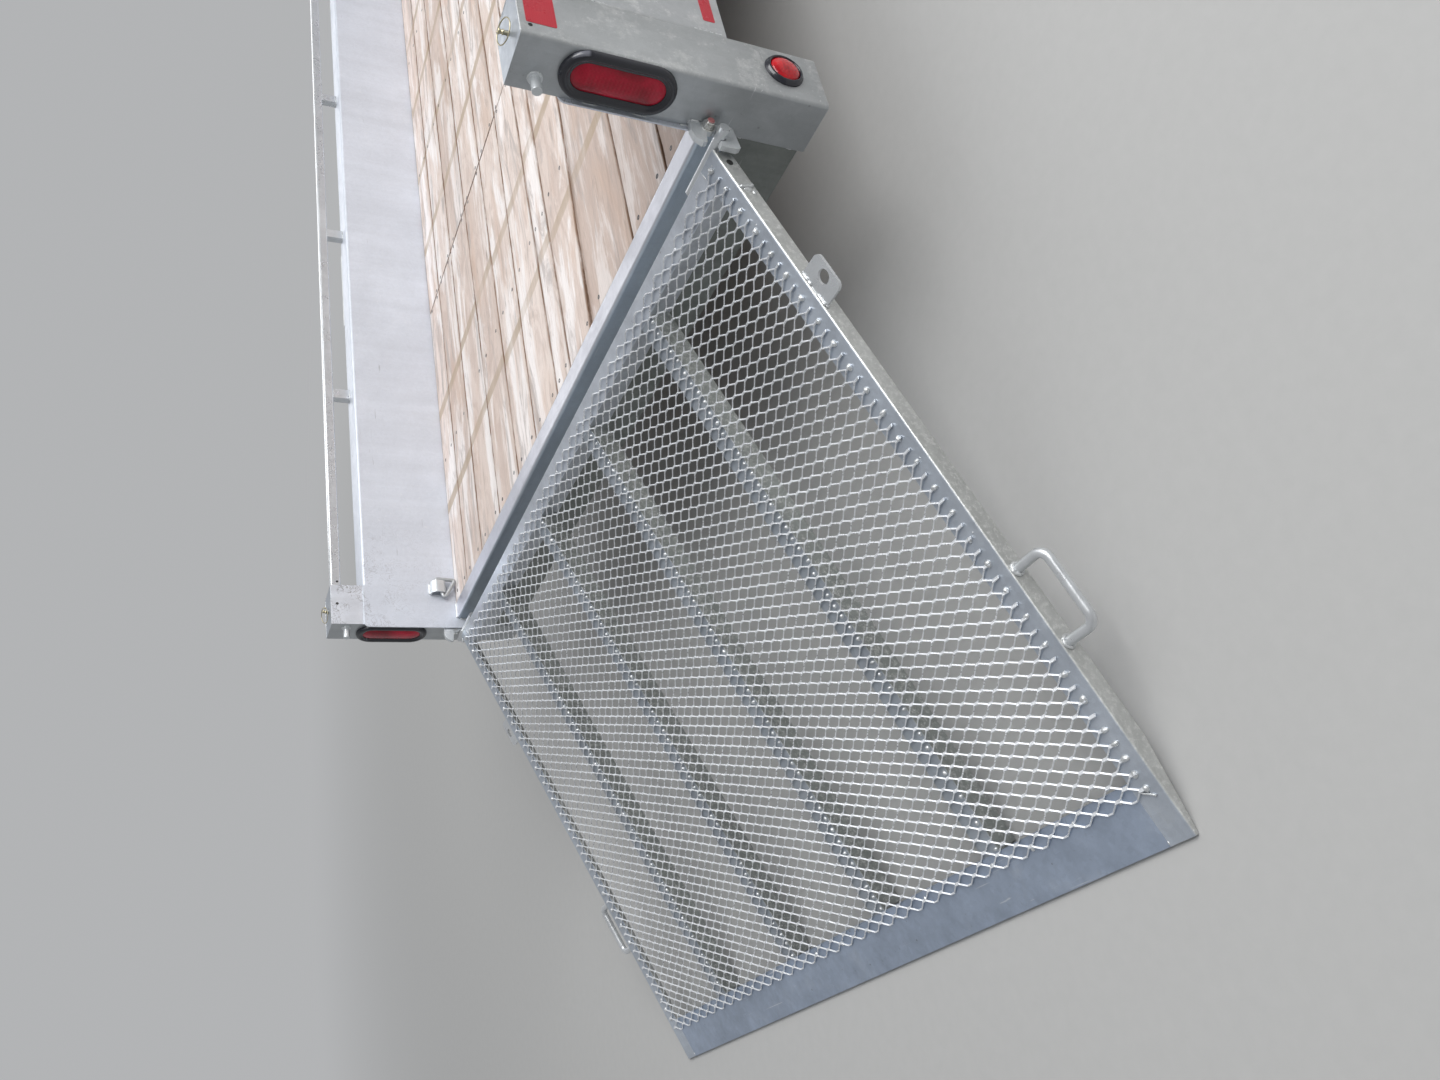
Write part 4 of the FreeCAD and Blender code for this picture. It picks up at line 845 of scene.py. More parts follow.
def lamps():
    TY, TZ = 965.5, 671.5
    gr, le, am = Soup(), Soup(), Soup()
    for sg in (1, -1):
        fl = sg > 0
        # oval grommet: a flange, a rounded crest, a shallow inner step down to the lens
        o = outline_oval(TY, TZ, 196.0, 90.0, sg)
        loft(gr, o, [(0.0, 0.0), (0.0, -4.6), (0.5, -6.6), (2.0, -8.8), (4.4, -10.3), (7.0, -10.9), (9.4, -11.0), (11.2, -10.8),
                     (12.6, -9.9), (13.4, -9.0), (14.2, -8.6), (16.4, -8.3), (18.0, -7.9), (18.8, -7.2), (19.1, -6.2), (19.1, -3.0),
                     (16.4, -1.0), (16.4, 12.0)], 0, False, fl)
        o = outline_oval(TY, TZ, 163.2, 57.2, sg)
        loft(le, o, [(0.0, 10.0), (0.0, -3.4), (0.5, -4.8), (1.8, -5.8), (4.0, -7.0), (9.0, -8.9), (16.0, -10.3), (22.0, -10.9), (28.4, -11.1)], 0, True, fl)
        for mx, mz, R, lr, red in ((66.0, 380.0, 36.0, 27.2, True), (3560.0, 640.0, 32.0, 22.5, False)):
            o = outline_round(mx, mz, R, sg)
            w = R - lr
            loft(gr, o, [(0.0, 1012.0), (0.0, 1013.6), (0.5, 1014.8), (1.8, 1016.8), (3.6, 1019.4), (5.2, 1020.7), (6.6, 1020.8),
                         (w - 1.2, 1020.1), (w - 0.5, 1018.8), (w - 0.1, 1016.0), (w, 1004.0)], 0, False, not fl)
            o = outline_round(mx, mz, lr, sg)
            prof = [(0.2, 1002.0), (0.2, 1017.0)]
            for k in range(1, 9):
                a = math.radians(11.0 * k)
                prof.append((0.2 + lr * (1 - math.cos(a)) * 0.98, 1017.0 + (8.6 if red else 4.6) * math.sin(a)))
            prof.append((lr - 0.1, 1017.0 + (8.62 if red else 4.62)))
            loft(le if red else am, o, prof, 1 if red else 0, True, not fl)
    gr.make("lamp_grommet_rings", "trailer", [BLACK], ("lamp_grommets",), "black_rubber")
    le.make("rear_lens_domes", "trailer", [RED, RED_M], ("rear_lamp_lenses",), "red_lens")
    am.make("front_lens_domes", "trailer", [AMBER], ("front_marker_lenses",), "amber_lens")


lamps()


def ring_pins():
    """Linch pins left standing in the post tops: shank, flattened head, a sprung wire ring through it."""
    sp = Soup()
    for sg in (1, -1):
        c = MM(58.0, sg * 963.0, 842.0)
        Z = Vector((0, 0, 1))
        ax = Vector((0.26, -sg * 0.12, 1.0)).normalized()
        sp.ring_solid(c - ax * 0.022, ax, [(0.0030, 0.0), (0.0036, 0.002), (0.0036, 0.0290), (0.0050, 0.0294), (0.0050, 0.0304),
                                           (0.0036, 0.0312), (0.0036, 0.0346), (0.0052, 0.0356), (0.0052, 0.0374), (0.0034, 0.0384)], 18, 0, 0, True)
        # sprung ring through the head, lying back to one side
        ctr = MM(53.0, sg * 968.5, 851.5)
        u = Vector((1.0, sg * -0.90, 0.24 if sg < 0 else 0.02)).normalized()
        w = Vector((0.90, sg * 1.0, -0.21 if sg < 0 else 0.30))
        w = (w - u * w.dot(u)).normalized()
        path = []
        for k in range(49):
            a = math.radians(6 + 348 * k / 48)
            rr = 0.0215 * (1.0 + 0.03 * math.cos(2 * a))
            path.append(ctr + u * math.cos(a) * rr + w * math.sin(a) * rr + Z * 0.0016 * math.sin(a * 1.0))
        sp.tube(path, 0.00105, 9, True, 0, True)
        sp.tube([ctr + u * 0.0195 - Z * 0.0005, ctr + u * 0.0222 + Z * 0.0006, ctr + u * 0.0240 + Z * 0.0002], 0.0017, 8, True, 0, True)
    sp.make("ring_pins", "trailer", [ZINC_Y], ("linch_pins",), "zinc")


ring_pins()


# ------------------------------------------------------------------ planks
def planks():
    GAP_Y = [-759.0, -583.0, -341.0, -186.0, -91.0, 72.0, 235.0, 417.0, 605.0, 775.0]
    ys = [-910.3] + [v for g in GAP_Y for v in (g - 2.3, g + 2.3)] + [910.3]
    rnd = random.Random(55)
    rw = random.Random(8)
    # two of the gaps run askew: their offset at the rear end, then at the station given
    skew = {2: (17.0, -19.0, 661.0), 5: (10.0, -11.0, 1150.0)}

    def askew(g, x):
        if g not in skew:
            return 0.0
        d0, d1, xe = skew[g]
        return d0 + (d1 - d0) * min(1.0, max(0.0, (x - 78.0) / (xe - 78.0)))

    verts, faces, tone, seed, rim = [], [], [], [], []
    TOP, BOT = 493.5, 455.5
    # from the right side to the left one; the rear boards first
    TONES = ((0.10, 0.16, 0.20, 0.60, 0.72, 0.95, 0.80, 0.50, 0.62, 0.45, 0.80), (0.5, 0.3, 0.7, 0.45, 0.95, 0.6, 0.5, 0.75, 0.4, 0.85, 0.65))
    for bi in range(0, len(ys), 2):
        for ji, (x0, x1) in enumerate(((78.0, 1161.0), (1163.0, 3556.0))):
            t, sd = rnd.random(), rnd.random()
            t = TONES[ji][bi // 2]
            y0, y1 = ys[bi], ys[bi + 1]
            x0r = x0 + (rnd.uniform(0.0, 5.0) * 0.3 if ji == 0 else rnd.uniform(0, 1.5))
            x1r = x1 - (rnd.uniform(0.0, 3.0) if ji == 0 else 0.0)
            n = int((x1r - x0r) / 26)
            xs = [x0r, x0r + 3.5] + [x0r + (x1r - x0r) * i / n for i in range(1, n)] + [x1r - 3.5, x1r]
            n = len(xs) - 1
            prev = None
            cup = rnd.uniform(-0.9, 0.7)
            wl, wr = (rw.choice((1.6, 2.2, 2.8, 3.6, 6.0)) for _ in range(2))
            if ji == 0 and bi in (4, 6):
                wl, wr = (wl, 17.0) if bi == 4 else (5.0, wr)
            seed_v = Vector((sd * 40, bi * 3.1, ji * 9.7))
            for i in range(n + 1):
                x = xs[i]
                e0 = noise.noise(Vector((x / 95.0, 0.0, 0.0)) + seed_v) * 1.5
                e1 = noise.noise(Vector((x / 95.0, 7.0, 0.0)) + seed_v) * 1.5
                wane = max(0.0, noise.noise(Vector((x / 240.0, 3.0, 1.0)) + seed_v) - 0.28) * 26.0
                wane2 = max(0.0, noise.noise(Vector((x / 240.0, 13.0, 1.0)) + seed_v) - 0.34) * 22.0
                a = y0 + (abs(e0) if bi else 0.0) + askew(bi // 2 - 1, x)
                b = y1 - (abs(e1) if bi < len(ys) - 2 else 0.0) + askew(bi // 2, x)
                if bi == 4 and ji == 0:
                    b -= 10.0 * max(0.0, 1.0 - (x - 78.0) / 300.0)
                ec = 1.3 + abs(noise.noise(Vector((x / 30.0, 1.0, 5.0)) + seed_v)) * 2.6
                rough_end = 0.0
                xe = x
                ring = []
                prof = [(a + 0.5, BOT + 0.2, 1.0), (a, BOT + 12, 1.0), (a, TOP - ec - wane, 1.0), (a + ec * 0.8 + wane * 0.5, TOP - 0.5, 0.85),
                        (a + ec * 0.8 + wane * 0.5 + wl, TOP - 0.3, 0.12)]
                k = max(4, int((y1 - y0) / 26))
                for q in range(1, k):
                    fy = q / k
                    yy = a + (b - a) * fy
                    zc = -abs(cup) * (1 - (2 * fy - 1) ** 2) * (1 if cup > 0 else 0) - abs(cup) * ((2 * fy - 1) ** 2) * (1 if cup <= 0 else 0)
                    zc += noise.noise(Vector((x / 60.0, yy / 22.0, 2.0)) + seed_v) * 0.30 - 0.3
                    ring.append((yy, TOP + zc, 0.0))
                prof = prof + ring + [(b - ec * 0.8 - wane2 * 0.5 - wr, TOP - 0.3, 0.12), (b - ec * 0.8 - wane2 * 0.5, TOP - 0.5, 0.85), (b, TOP - ec - wane2, 1.0), (b, BOT + 12, 1.0), (b - 0.5, BOT + 0.2, 1.0)]
                ids = []
                for j, (yy, zz, rm) in enumerate(prof):
                    dx = 0.0
                    if i == 0:
                        dx = rnd.uniform(-0.4, 1.0)
                        if ji == 0:
                            # the top arris of the rear end is worn down over the beam's rounded edge
                            up = min(6.7, max(0.0, zz - (TOP - 7.0)))
                            dx = 76.0 - 7.0 + math.sqrt(49.0 - up * up) + 0.5 - xe + 0.4 * dx
                    elif i == n:
                        dx = -rnd.uniform(0.0, 1.2)
                    ids.append(len(verts))
                    verts.append(tuple(MM(xe + dx, yy, zz)))
                    end = (0.05 if ji == 0 and i == 0 else 0.9) if i in (0, n) else 0.0
                    tone.append(t)
                    seed.append(sd)
                    rim.append(max(rm, end * 0.9))
                if prev:
                    for j in range(len(ids) - 1):
                        faces.append((prev[j + 1], prev[j], ids[j], ids[j + 1]))
                    faces.append((prev[0], prev[-1], ids[-1], ids[0]))
                else:
                    faces.append(tuple(ids))
                prev = ids
            faces.append(tuple(reversed(prev)))
    me = bpy.data.meshes.new("deck_boards")
    me.from_pydata(verts, [], faces)
    for nm, data in (("tone", tone), ("seed", seed), ("rim", rim)):
        at = me.attributes.new(nm, "FLOAT", "POINT")
        at.data.foreach_set("value", data)
    me.materials.append(PLANK)
    me.update()
    ob = bpy.data.objects.new("deck_boards", me)
    scene.collection.objects.link(ob)
    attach(ob, "trailer")
    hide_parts("deck_planks")
    # screws through the boards into each crossmember and the rear beam's ledge
    sp = Soup()
    for x in (96.0, 560.0, 1150.0, 1175.0, 1790.0, 2400.0, 3010.0, 3530.0):
        for bi in range(0, len(ys), 2):
            y0, y1 = ys[bi], ys[bi + 1]
            for f in (0.2, 0.8):
                if rnd.random() < 0.12:
                    continue
                c = MM(x + rnd.uniform(-5, 5), y0 + (y1 - y0) * f + rnd.uniform(-4, 4), TOP - 1.5)
                sp.ring_solid(c, Vector((0, 0, 1)), [(0.0042, 0.0), (0.0050, 0.0008), (0.0050, 0.0014), (0.0020, 0.0014),
                                                     (0.0016, 0.0004), (0.0004, 0.0004)], 12, 0, rnd.uniform(0, 3))
    sp.make("deck_screws", "trailer", [DARK], (), "zinc")


planks()


# ------------------------------------------------------------------ tyres
def tyre(side, sgn):
    prof = [(166.4, 61.8), (168.5, 64.5), (172.0, 68.5), (177.0, 73.2), (183.0, 76.6), (190.0, 79.6), (198.0, 82.2),
            (207.0, 84.8), (209.0, 86.0), (212.0, 86.2), (214.0, 86.2), (224.0, 87.7), (235.0, 88.4), (246.0, 88.0),
            (256.0, 87.0), (258.0, 87.8), (261.0, 87.6), (263.0, 86.2), (270.0, 85.1), (277.0, 83.2), (284.0, 80.0),
            (290.0, 75.8), (294.6, 71.2), (298.0, 65.0), (300.4, 58.5), (301.2, 54.0), (295.8, 52.0), (295.8, 47.0),
            (302.0, 45.0), (303.0, 38.0), (303.6, 30.0), (303.9, 24.5), (296.6, 22.8), (296.6, 17.0), (304.5, 15.2),
            (304.9, 8.0), (305.0, 0.0)]
    full = prof + [(r, -y) for r, y in reversed(prof[:-1])]
    NA = 288
    ax, ay, az = MM(1517.0, sgn * 1126.0, 305.0)
    verts = np.zeros((NA, len(full), 3))
    for i in range(NA):
        for j, (r, y) in enumerate(full):
            rr = r
            a = 2 * math.pi * i / NA
            if 56.0 < abs(y) < 84.5 and r > 276:
                # shoulder blocks
                if (i + (2 if y < 0 else 0)) % 6 in (0, 1):
                    rr -= 4.2 * min(1.0, (r - 272.0) / 14.0)
            elif 24.0 < abs(y) < 46.0 and r > 300:
                # slanted sipes in the second rib
                ph = (i + int((abs(y) - 24.0) / 7.0) * (1 if y > 0 else -1)) % 8
                if ph == 0:
                    rr -= 2.8
            elif abs(y) < 9.0 and r > 300:
                if (i + int(y / 4.0)) % 12 == 0:
                    rr -= 2.0
            verts[i, j] = (ax + rr / 1000.0 * math.cos(a), ay + y / 1000.0, az + rr / 1000.0 * math.sin(a))
    m = len(full)
    vv = verts.reshape(-1, 3)
    faces = []
    for i in range(NA):
        i2 = (i + 1) % NA
        for j in range(m - 1):
            faces.append((i * m + j, i * m + j + 1, i2 * m + j + 1, i2 * m + j))
        faces.append((i * m + m - 1, i * m, i2 * m, i2 * m + m - 1))
    sp = Soup()
    sp.v = [tuple(p) for p in vv]
    sp.f = faces
    sp.mi = [0] * len(faces)
    sp.sm = [not (22 <= (k % m) <= m - 24) for k in range(len(faces))]
    ob = sp.make(side + "_tyre_treaded", side + "_wheel", [TYRE], (side + "_tyre",), "tyre")
    # wheel nuts over the studs, and a valve
    sp = Soup()
    Y = Vector((0, sgn, 0))
    for i in range(5):
        a = math.radians(90 + 72 * i)
        c = MM(1517 + 57.15 * math.cos(a), sgn * (1126 + 2.6), 305 + 57.15 * math.sin(a))
        sp.ring_solid(c, Y, [(0.0116, 0.0), (0.0124, 0.0035), (0.0124, 0.0150), (0.0108, 0.0182), (0.0050, 0.0200), (0.0010, 0.0203)], 6, 0,
                      a + 0.2)
    sp.make(side + "_wheel_nuts", side + "_wheel", [ZINC], (), "zinc")
    sp = Soup()
    a = math.radians(112)
    c = MM(1517 + 131 * math.cos(a), sgn * (1126 + 10), 305 + 131 * math.sin(a))
    d = (Y + Vector((math.cos(a), 0, math.sin(a))) * 0.12).normalized()
    sp.ring_solid(c, d, [(0.0078, -0.004), (0.0078, 0.002), (0.0052, 0.0045), (0.0047, 0.022), (0.0050, 0.0225),
                         (0.0050, 0.031), (0.0036, 0.0325), (0.0005, 0.0328)], 16, 0, 0.0, True)
    sp.make(side + "_valve", side + "_wheel", [GRIP], (), "black_rubber")
    return ob


tyre("left", 1)
tyre("right", -1)


# ------------------------------------------------------------------ tie-downs
def tie_downs():
    sp = Soup()
    for x in (114.0, 3458.0):
        for sg in (1, -1):
            Y = Vector((0, -sg, 0))
            # strap bent over the ring's pivot: half round in section, open to the wall
            prof = []
            cy, cz, r, hh = 899.0, 545.0, 13.5, 22.0
            for k in range(13):
                a = math.radians(-78 + 156 * k / 12)
                prof.append((cy - r * math.cos(a), cz + (hh - 1.0) * math.sin(a)))
            outer = [(911.3, cz - hh)] + prof + [(911.3, cz + hh)]
            inner = [(911.3, cz - hh + 3.8)] + [(cy - (r - 3.6) * math.cos(math.radians(-78 + 156 * k / 12)),
                                            cz + (hh - 5.0) * math.sin(math.radians(-78 + 156 * k / 12))) for k in range(13)] + [(911.3, cz + hh - 3.8)]
            n = len(outer)
            v = []
            for xx in (x - 19.0, x - 18.2, x + 18.2, x + 19.0):
                sh = 0.6 if xx in (x - 19.0, x + 19.0) else 0.0
                for (a, b), (c, d) in zip(outer, inner):
                    v.append(MM(xx, sg * (a + (sh if a < 905 else 0)), b))
                for (a, b), (c, d) in zip(outer, inner):
                    v.append(MM(xx, sg * c, d))
            f = []
            L = 2 * n
            for q in range(3):
                for k in range(n - 1):
                    f.append((q * L + k, q * L + k + 1, (q + 1) * L + k + 1, (q + 1) * L + k))
                    f.append((q * L + n + k + 1, q * L + n + k, (q + 1) * L + n + k, (q + 1) * L + n + k + 1))
                f.append((q * L, (q + 1) * L, (q + 1) * L + n, q * L + n))
                f.append((q * L + n - 1, q * L + 2 * n - 1, (q + 1) * L + 2 * n - 1, (q + 1) * L + n - 1))
            for q in (0, 3):
                for k in range(n - 1):
                    f.append((q * L + k, q * L + n + k, q * L + n + k + 1, q * L + k + 1))
            sp.add(v, f, 2, False)
            # delta ring, swung a little to one side, its foot against the wall
            cor = [(x - 34.0, 898.5, 529.0), (x + 28.0, 898.5, 552.0), (x + 21.0, 892.0, 496.6)]
            path = []
            for i in range(3):
                a, b, c = (Vector(cor[(i + d) % 3]) for d in (-1, 0, 1))
                p0 = b + (a - b).normalized() * 10.0
                p1 = b + (c - b).normalized() * 10.0
                for k in range(7):
                    t = k / 6
                    path.append((p0 * (1 - t) ** 2 + b * 2 * t * (1 - t) + p1 * t * t))
            sp.tube([MM(p.x, sg * p.y, p.z) for p in path], 0.0055, 12, False, 0, True, True)
            rnd = random.Random(int(x) + sg)
            sp.bead([MM(x - 18, sg * 910.6, 567.6), MM(x + 18, sg * 910.6, 567.6)], 0.0034, rnd, mat=1)
            sp.bead([MM(x - 18, sg * 910.6, 522.4), MM(x + 18, sg * 910.6, 522.4)], 0.0030, rnd, mat=1)
    sp.make("tie_down_rings", "trailer", [FRAMEM, WELD, BRACKET], ("tie_downs",), "zinc")


tie_downs()


def seam_fill():
    """Weld metal dressed flush in the groove between each rear post's corner and its wall."""
    sp = Soup()
    for sg in (1, -1):
        prof = [(115.4, 1011.2), (115.6, 1012.04), (118.6, 1012.10), (122.0, 1012.12), (123.2, 1012.08), (123.4, 1011.4), (119.5, 1010.2)]
        zs = [476.4 + (754.6 - 476.4) * k / 24 for k in range(25)]
        v = [MM(x, sg * y, z) for z in zs for x, y in prof]
        m = len(prof)
        f = []
        for i in range(24):
            for k in range(m):
                k2 = (k + 1) % m
                q = (i * m + k, i * m + k2, (i + 1) * m + k2, (i + 1) * m + k)
                f.append(q if sg < 0 else tuple(reversed(q)))
        f.append(tuple(range(m)) if sg > 0 else tuple(reversed(range(m))))
        f.append(tuple(reversed(range(24 * m, 25 * m))) if sg > 0 else tuple(range(24 * m, 25 * m)))
        sp.add(v, f, 0, False)
    sp.make("post_seam_metal", "trailer", [POST], (), "galv")


seam_fill()


# ------------------------------------------------------------------ weld metal and small fittings on the trailer
def trailer_welds():
    sp = Soup()
    rnd = random.Random(23)

    def run(a, b, r=0.0030, step=0.0032):
        sp.bead([MM(*a), MM(*b)], r, rnd, step)

    for sg in (1, -1):
        # latch stud on the post's rear face
        ring = []
        for k in range(25):
            a = 2 * math.pi * k / 24
            ring.append(MM(-0.2, sg * 939.0 + 12.0 * math.cos(a), 799.63 + 12.0 * math.sin(a)))
        sp.bead(ring, 0.0009, rnd, 0.002)
        run((3.0, sg * 1011.4, 841.4), (119.0, sg * 1011.4, 841.4), 0.0013, 0.0028)
        run((121.6, sg * 916.0, 841.4), (121.6, sg * 1009.0, 841.4), 0.0012, 0.0028)
        # hinge bracket to post: up both sides of its root
        run((-0.4, sg * 928.2, 530.0), (-0.4, sg * 928.2, 514.0), 0.0022)
        run((-0.4, sg * 928.2, 480.0), (-0.4, sg * 928.2, 454.5), 0.0024)
        run((-0.2, sg * 918.5, 452.2), (-0.2, sg * 927.6, 452.2), 0.0028)
        run((-0.2, sg * 918.5, 532.0), (-0.2, sg * 927.6, 532.0), 0.0026)
        # lap of the inner sheet against the post, in stitches
        for z0 in (520.0, 604.0, 690.0):
            run((-0.6, sg * 914.6, z0), (-0.6, sg * 914.6, z0 + 26.0), 0.0018)
        # rear beam and apron to the sheet
        run((21.0, sg * 909.8, 494.4), (74.0, sg * 909.8, 494.4), 0.0028)
        run((19.0, sg * 910.2, 446.0), (19.0, sg * 910.2, 486.0), 0.0026)
        run((3.6, sg * 911.6, 424.0), (3.6, sg * 911.6, 436.0), 0.0016)
        run((3.6, sg * 911.6, 330.0), (3.6, sg * 911.6, 340.0), 0.0014)
        # post against the wall's outside and top
        run((122.6, sg * 1010.0, 482.0), (122.6, sg * 1010.0, 540.0), 0.0024)
        run((122.6, sg * 1010.0, 690.0), (122.6, sg * 1010.0, 748.0), 0.0024)
        run((122.8, sg * 925.0, 756.0), (122.8, sg * 1002.0, 756.0), 0.0026)
        run((122.8, sg * 963.0, 805.6), (122.8, sg * 988.0, 805.6), 0.0022)
        for x in [835.0 + 686.0 * k for k in range(4)]:
            for dx in (-17.6, 17.6):
                run((x + dx, sg * 965.0, 755.8), (x + dx, sg * 986.0, 755.8), 0.0024)
            run((x - 16, sg * 963.2, 755.8), (x + 16, sg * 963.2, 755.8), 0.0022)
            run((x - 16, sg * 987.8, 755.8), (x + 16, sg * 987.8, 755.8), 0.0022)
            run((x - 16, sg * 964.4, 805.6), (x + 16, sg * 964.4, 805.6), 0.0018)
            run((x - 16, sg * 986.8, 805.6), (x + 16, sg * 986.8, 805.6), 0.0018)
        # fender to wall, stitches along its profile
        for x0, z0, x1, z1 in ((1360, 717.5, 1400, 717.5), (1490, 717.5, 1530, 717.5), (1630, 717.5, 1670, 717.5),
                               (1320, 689.0, 1290, 659.0), (1215, 583.0, 1185, 553.0), (1714, 689.0, 1744, 659.0),
                               (1820, 583.0, 1850, 553.0)):
            run((x0, sg * 1012.6, z0), (x1, sg * 1012.6, z1), 0.0026)
        # spring hangers to the frame rail
        for ex in (1200.0, 1834.0):
            for dx in (-24.6, 24.6):
                run((ex + dx, sg * 866.0, 403.6), (ex + dx, sg * 908.0, 403.6), 0.0030)
        # crossmembers to the frame rails
        for x in (560.0, 1162.0, 1790.0, 2400.0, 3010.0):
            run((x - 24.0, sg * 861.4, 406.0), (x - 24.0, sg * 861.4, 452.0), 0.0026)
            run((x - 22.0, sg * 861.4, 404.8), (x + 22.0, sg * 861.4, 404.8), 0.0026)
        # front corner posts
        run((3595.6, sg * 948.0, 756.0), (3595.6, sg * 1002.0, 756.0), 0.0026)
        run((3600.0, sg * 943.6, 756.0), (3654.0, sg * 943.6, 756.0), 0.0026)
    for y in (-430.0, 430.0):
        for dy in (-17.6, 17.6):
            run((3617.0, y + dy, 755.8), (3639.0, y + dy, 755.8), 0.0024)
    # beam ends and front wall
    run((3660.0, -860.0, 455.0), (3660.0, -780.0, 455.0), 0.0026)
    run((3660.0, 780.0, 455.0), (3660.0, 860.0, 455.0), 0.0026)
    run((3660.0, -60.0, 455.0), (3660.0, 60.0, 455.0), 0.0026)
    # tongue rails under the front beam, jack flange and coupler wings
    for sg in (1, -1):
        def ty(x):
            return 45.0 + (4800.0 - x) * math.tan(math.radians(25.0))
        for x in (3608.0, 3657.0):
            run((x, sg * (ty(x) - 24.0), 404.0), (x, sg * (ty(x) + 24.0), 404.0), 0.0030)
        run((4724.0, sg * 99.5, 405.2), (4846.0, sg * 42.5, 405.2), 0.0032)
        run((3012.0, sg * (ty(3012) - 22.0), 404.8), (3012.0, sg * (ty(3012) + 20.0), 404.8), 0.0030)
    ring = []
    for k in range(31):
        a = 2 * math.pi * k / 30
        ring.append(MM(4640 + 29.4 * math.cos(a), 29.4 * math.sin(a), 413.2))
    sp.bead(ring, 0.0030, rnd)
    sp.make("trailer_weld_metal", "trailer", [WELD], (), "galv_bright")


trailer_welds()


def fittings():
    sp = Soup()
    # keeper bolt: nut with a nylon collar and a stub of thread, over the CAD's bolt
    for sg in (1, -1):
        c = MM(-9.5, sg * 928.0, 500.7)
        Y = Vector((0, sg, 0))
        sp.ring_solid(c, Y, [(0.0120, -0.0002), (0.0120, 0.0014), (0.0112, 0.0018)], 22, 0)
        sp.ring_solid(c, Y, [(0.0106, 0.0016), (0.0113, 0.0026), (0.0113, 0.0078), (0.0100, 0.0094), (0.0080, 0.0108)], 6, 0, 0.5)
        sp.ring_solid(c, Y, [(0.0084, 0.0100), (0.0082, 0.0122), (0.0070, 0.0130), (0.0062, 0.0130)], 18, 0, 0, True)
    # spring eye bolts, U-bolt nuts
    for sg in (1, -1):
        for ex in (1200.0, 1834.0):
            sp.bolt(MM(ex, sg * 928.2, 338.0), Vector((0, sg, 0)), 0.0125, 0.009, 0, 0.2, True, 0.006)
            sp.bolt(MM(ex, sg * 847.8, 338.0), Vector((0, -sg, 0)), 0.0125, 0.009, 0, 0.7, True)
        for dx in (-37.5, 37.5):
            for dy in (-30.0, 30.0):
                sp.bolt(MM(1517 + dx, sg * 888 + dy, 236.0), Vector((0, 0, -1)), 0.0118, 0.0095, 0, 0.1, True, 0.0)
    # jack flange and coupler bolts
    for x, y in ((4606.0, 112.0), (4606.0, -112.0), (4668.0, 84.0), (4668.0, -84.0)):
        sp.bolt(MM(x, y, 412.4), Vector((0, 0, 1)), 0.0105, 0.008, 0, 0.4, True, 0.005)
    for sg in (1, -1):
        d = Vector((57.0, 0, 0)).normalized()
        nrm = Vector((61.0, sg * 131.0, 0)).normalized()
        for t in (0.22, 0.72):
            x, y = 4720 + 131 * t, sg * (101 - 61 * t)
            sp.bolt(MM(x, y, 434.0), nrm, 0.0105, 0.008, 0, 0.3, True, 0.004)
    sp.make("bolts_and_nuts", "trailer", [ZINC], (), "zinc")
    # red tip on the keeper bolts' threads, and dark discs of painted shade for the small holes in posts and rail ends
    sp = Soup()
    for sg in (1, -1):
        c = MM(-9.5, sg * 943.0, 500.7)
        sp.ring_solid(c - Vector((0, sg * 0.0014, 0)), Vector((0, sg, 0)),
                      [(0.0061, 0.0), (0.0062, 0.0006), (0.0060, 0.0012), (0.0062, 0.0018), (0.0054, 0.0024), (0.0008, 0.0026)], 18, 0)
    M = paint("thread_lacquer", (0.50, 0.19, 0.19), (0.35, 0.5), (0.55, 0.5, 0.45), 0.5, 0.3)
    sp.make("keeper_bolt_tips", "trailer", [M], (), "zinc")
    sp = Soup()
    for sg in (1, -1):
        Y = Vector((0, sg, 0))
        sp.ring_solid(MM(22, sg * 1011.9, 825), Y, [(0.0036, 0.0), (0.0036, 0.0004)], 16)
        sp.ring_solid(MM(63, sg * 914.4, 825), -Y, [(0.0040, 0.0), (0.0040, 0.0004)], 16)
        sp.ring_solid(MM(159, sg * 961.6, 816), -Y, [(0.0034, 0.0), (0.0034, 0.0004)], 16)
    sp.make("small_hole_shade", "trailer", [HOLE_SHADE_DISC], (), "galv")
    # vinyl grip over the crank's handle
    sp = Soup()
    prof = [(0.0122, 0.006), (0.0134, 0.009)]
    for k in range(12):
        z = 0.012 + k * 0.0055
        prof += [(0.0137, z), (0.0139, z + 0.0016), (0.0129, z + 0.0028), (0.0137, z + 0.0040)]
    prof += [(0.0138, 0.080), (0.0122, 0.0825), (0.0020, 0.0830)]
    sp.ring_solid(MM(4500, 0, 890), Vector((0, 0, 1)), prof, 26, 0, 0, True)
    sp.make("crank_grip", "trailer", [GRIP], (), "black_rubber")


fittings()


def tapes():
    """Red reflective strips: a short one high on each post, long ones low on the walls."""
    sp = Soup()
    for sg in (1, -1):
        for x0, x1, z0, z1 in ((28, 118, 782, 831), (150, 430, 491, 513), (1980, 2260, 491, 513), (3180, 3460, 491, 513)):
            y0, y1 = sg * 1011.8, sg * 1012.45
            nx = max(2, int((x1 - x0) / 30))
            pts, fc = [], []
            rr = 3.0
            out = []
            for cx, cz, a0 in ((x1 - rr, z1 - rr, 0), (x0 + rr, z1 - rr, 90), (x0 + rr, z0 + rr, 180), (x1 - rr, z0 + rr, 270)):
                for k in range(5):
                    a = math.radians(a0 + 90 * k / 4)
                    out.append((cx + rr * math.cos(a), cz + rr * math.sin(a)))
            n = len(out)
            v = [MM(x, y0, z) for x, z in out] + [MM(x, y1, z) for x, z in out]
            f = [tuple(range(n, 2 * n)), tuple(reversed(range(n)))] + [(k, (k + 1) % n, n + (k + 1) % n, n + k) for k in range(n)]
            sp.add(v, f, 0, False)
    sp.make("reflective_tape", "trailer", [TAPE_R], (), "red_lens")


tapes()


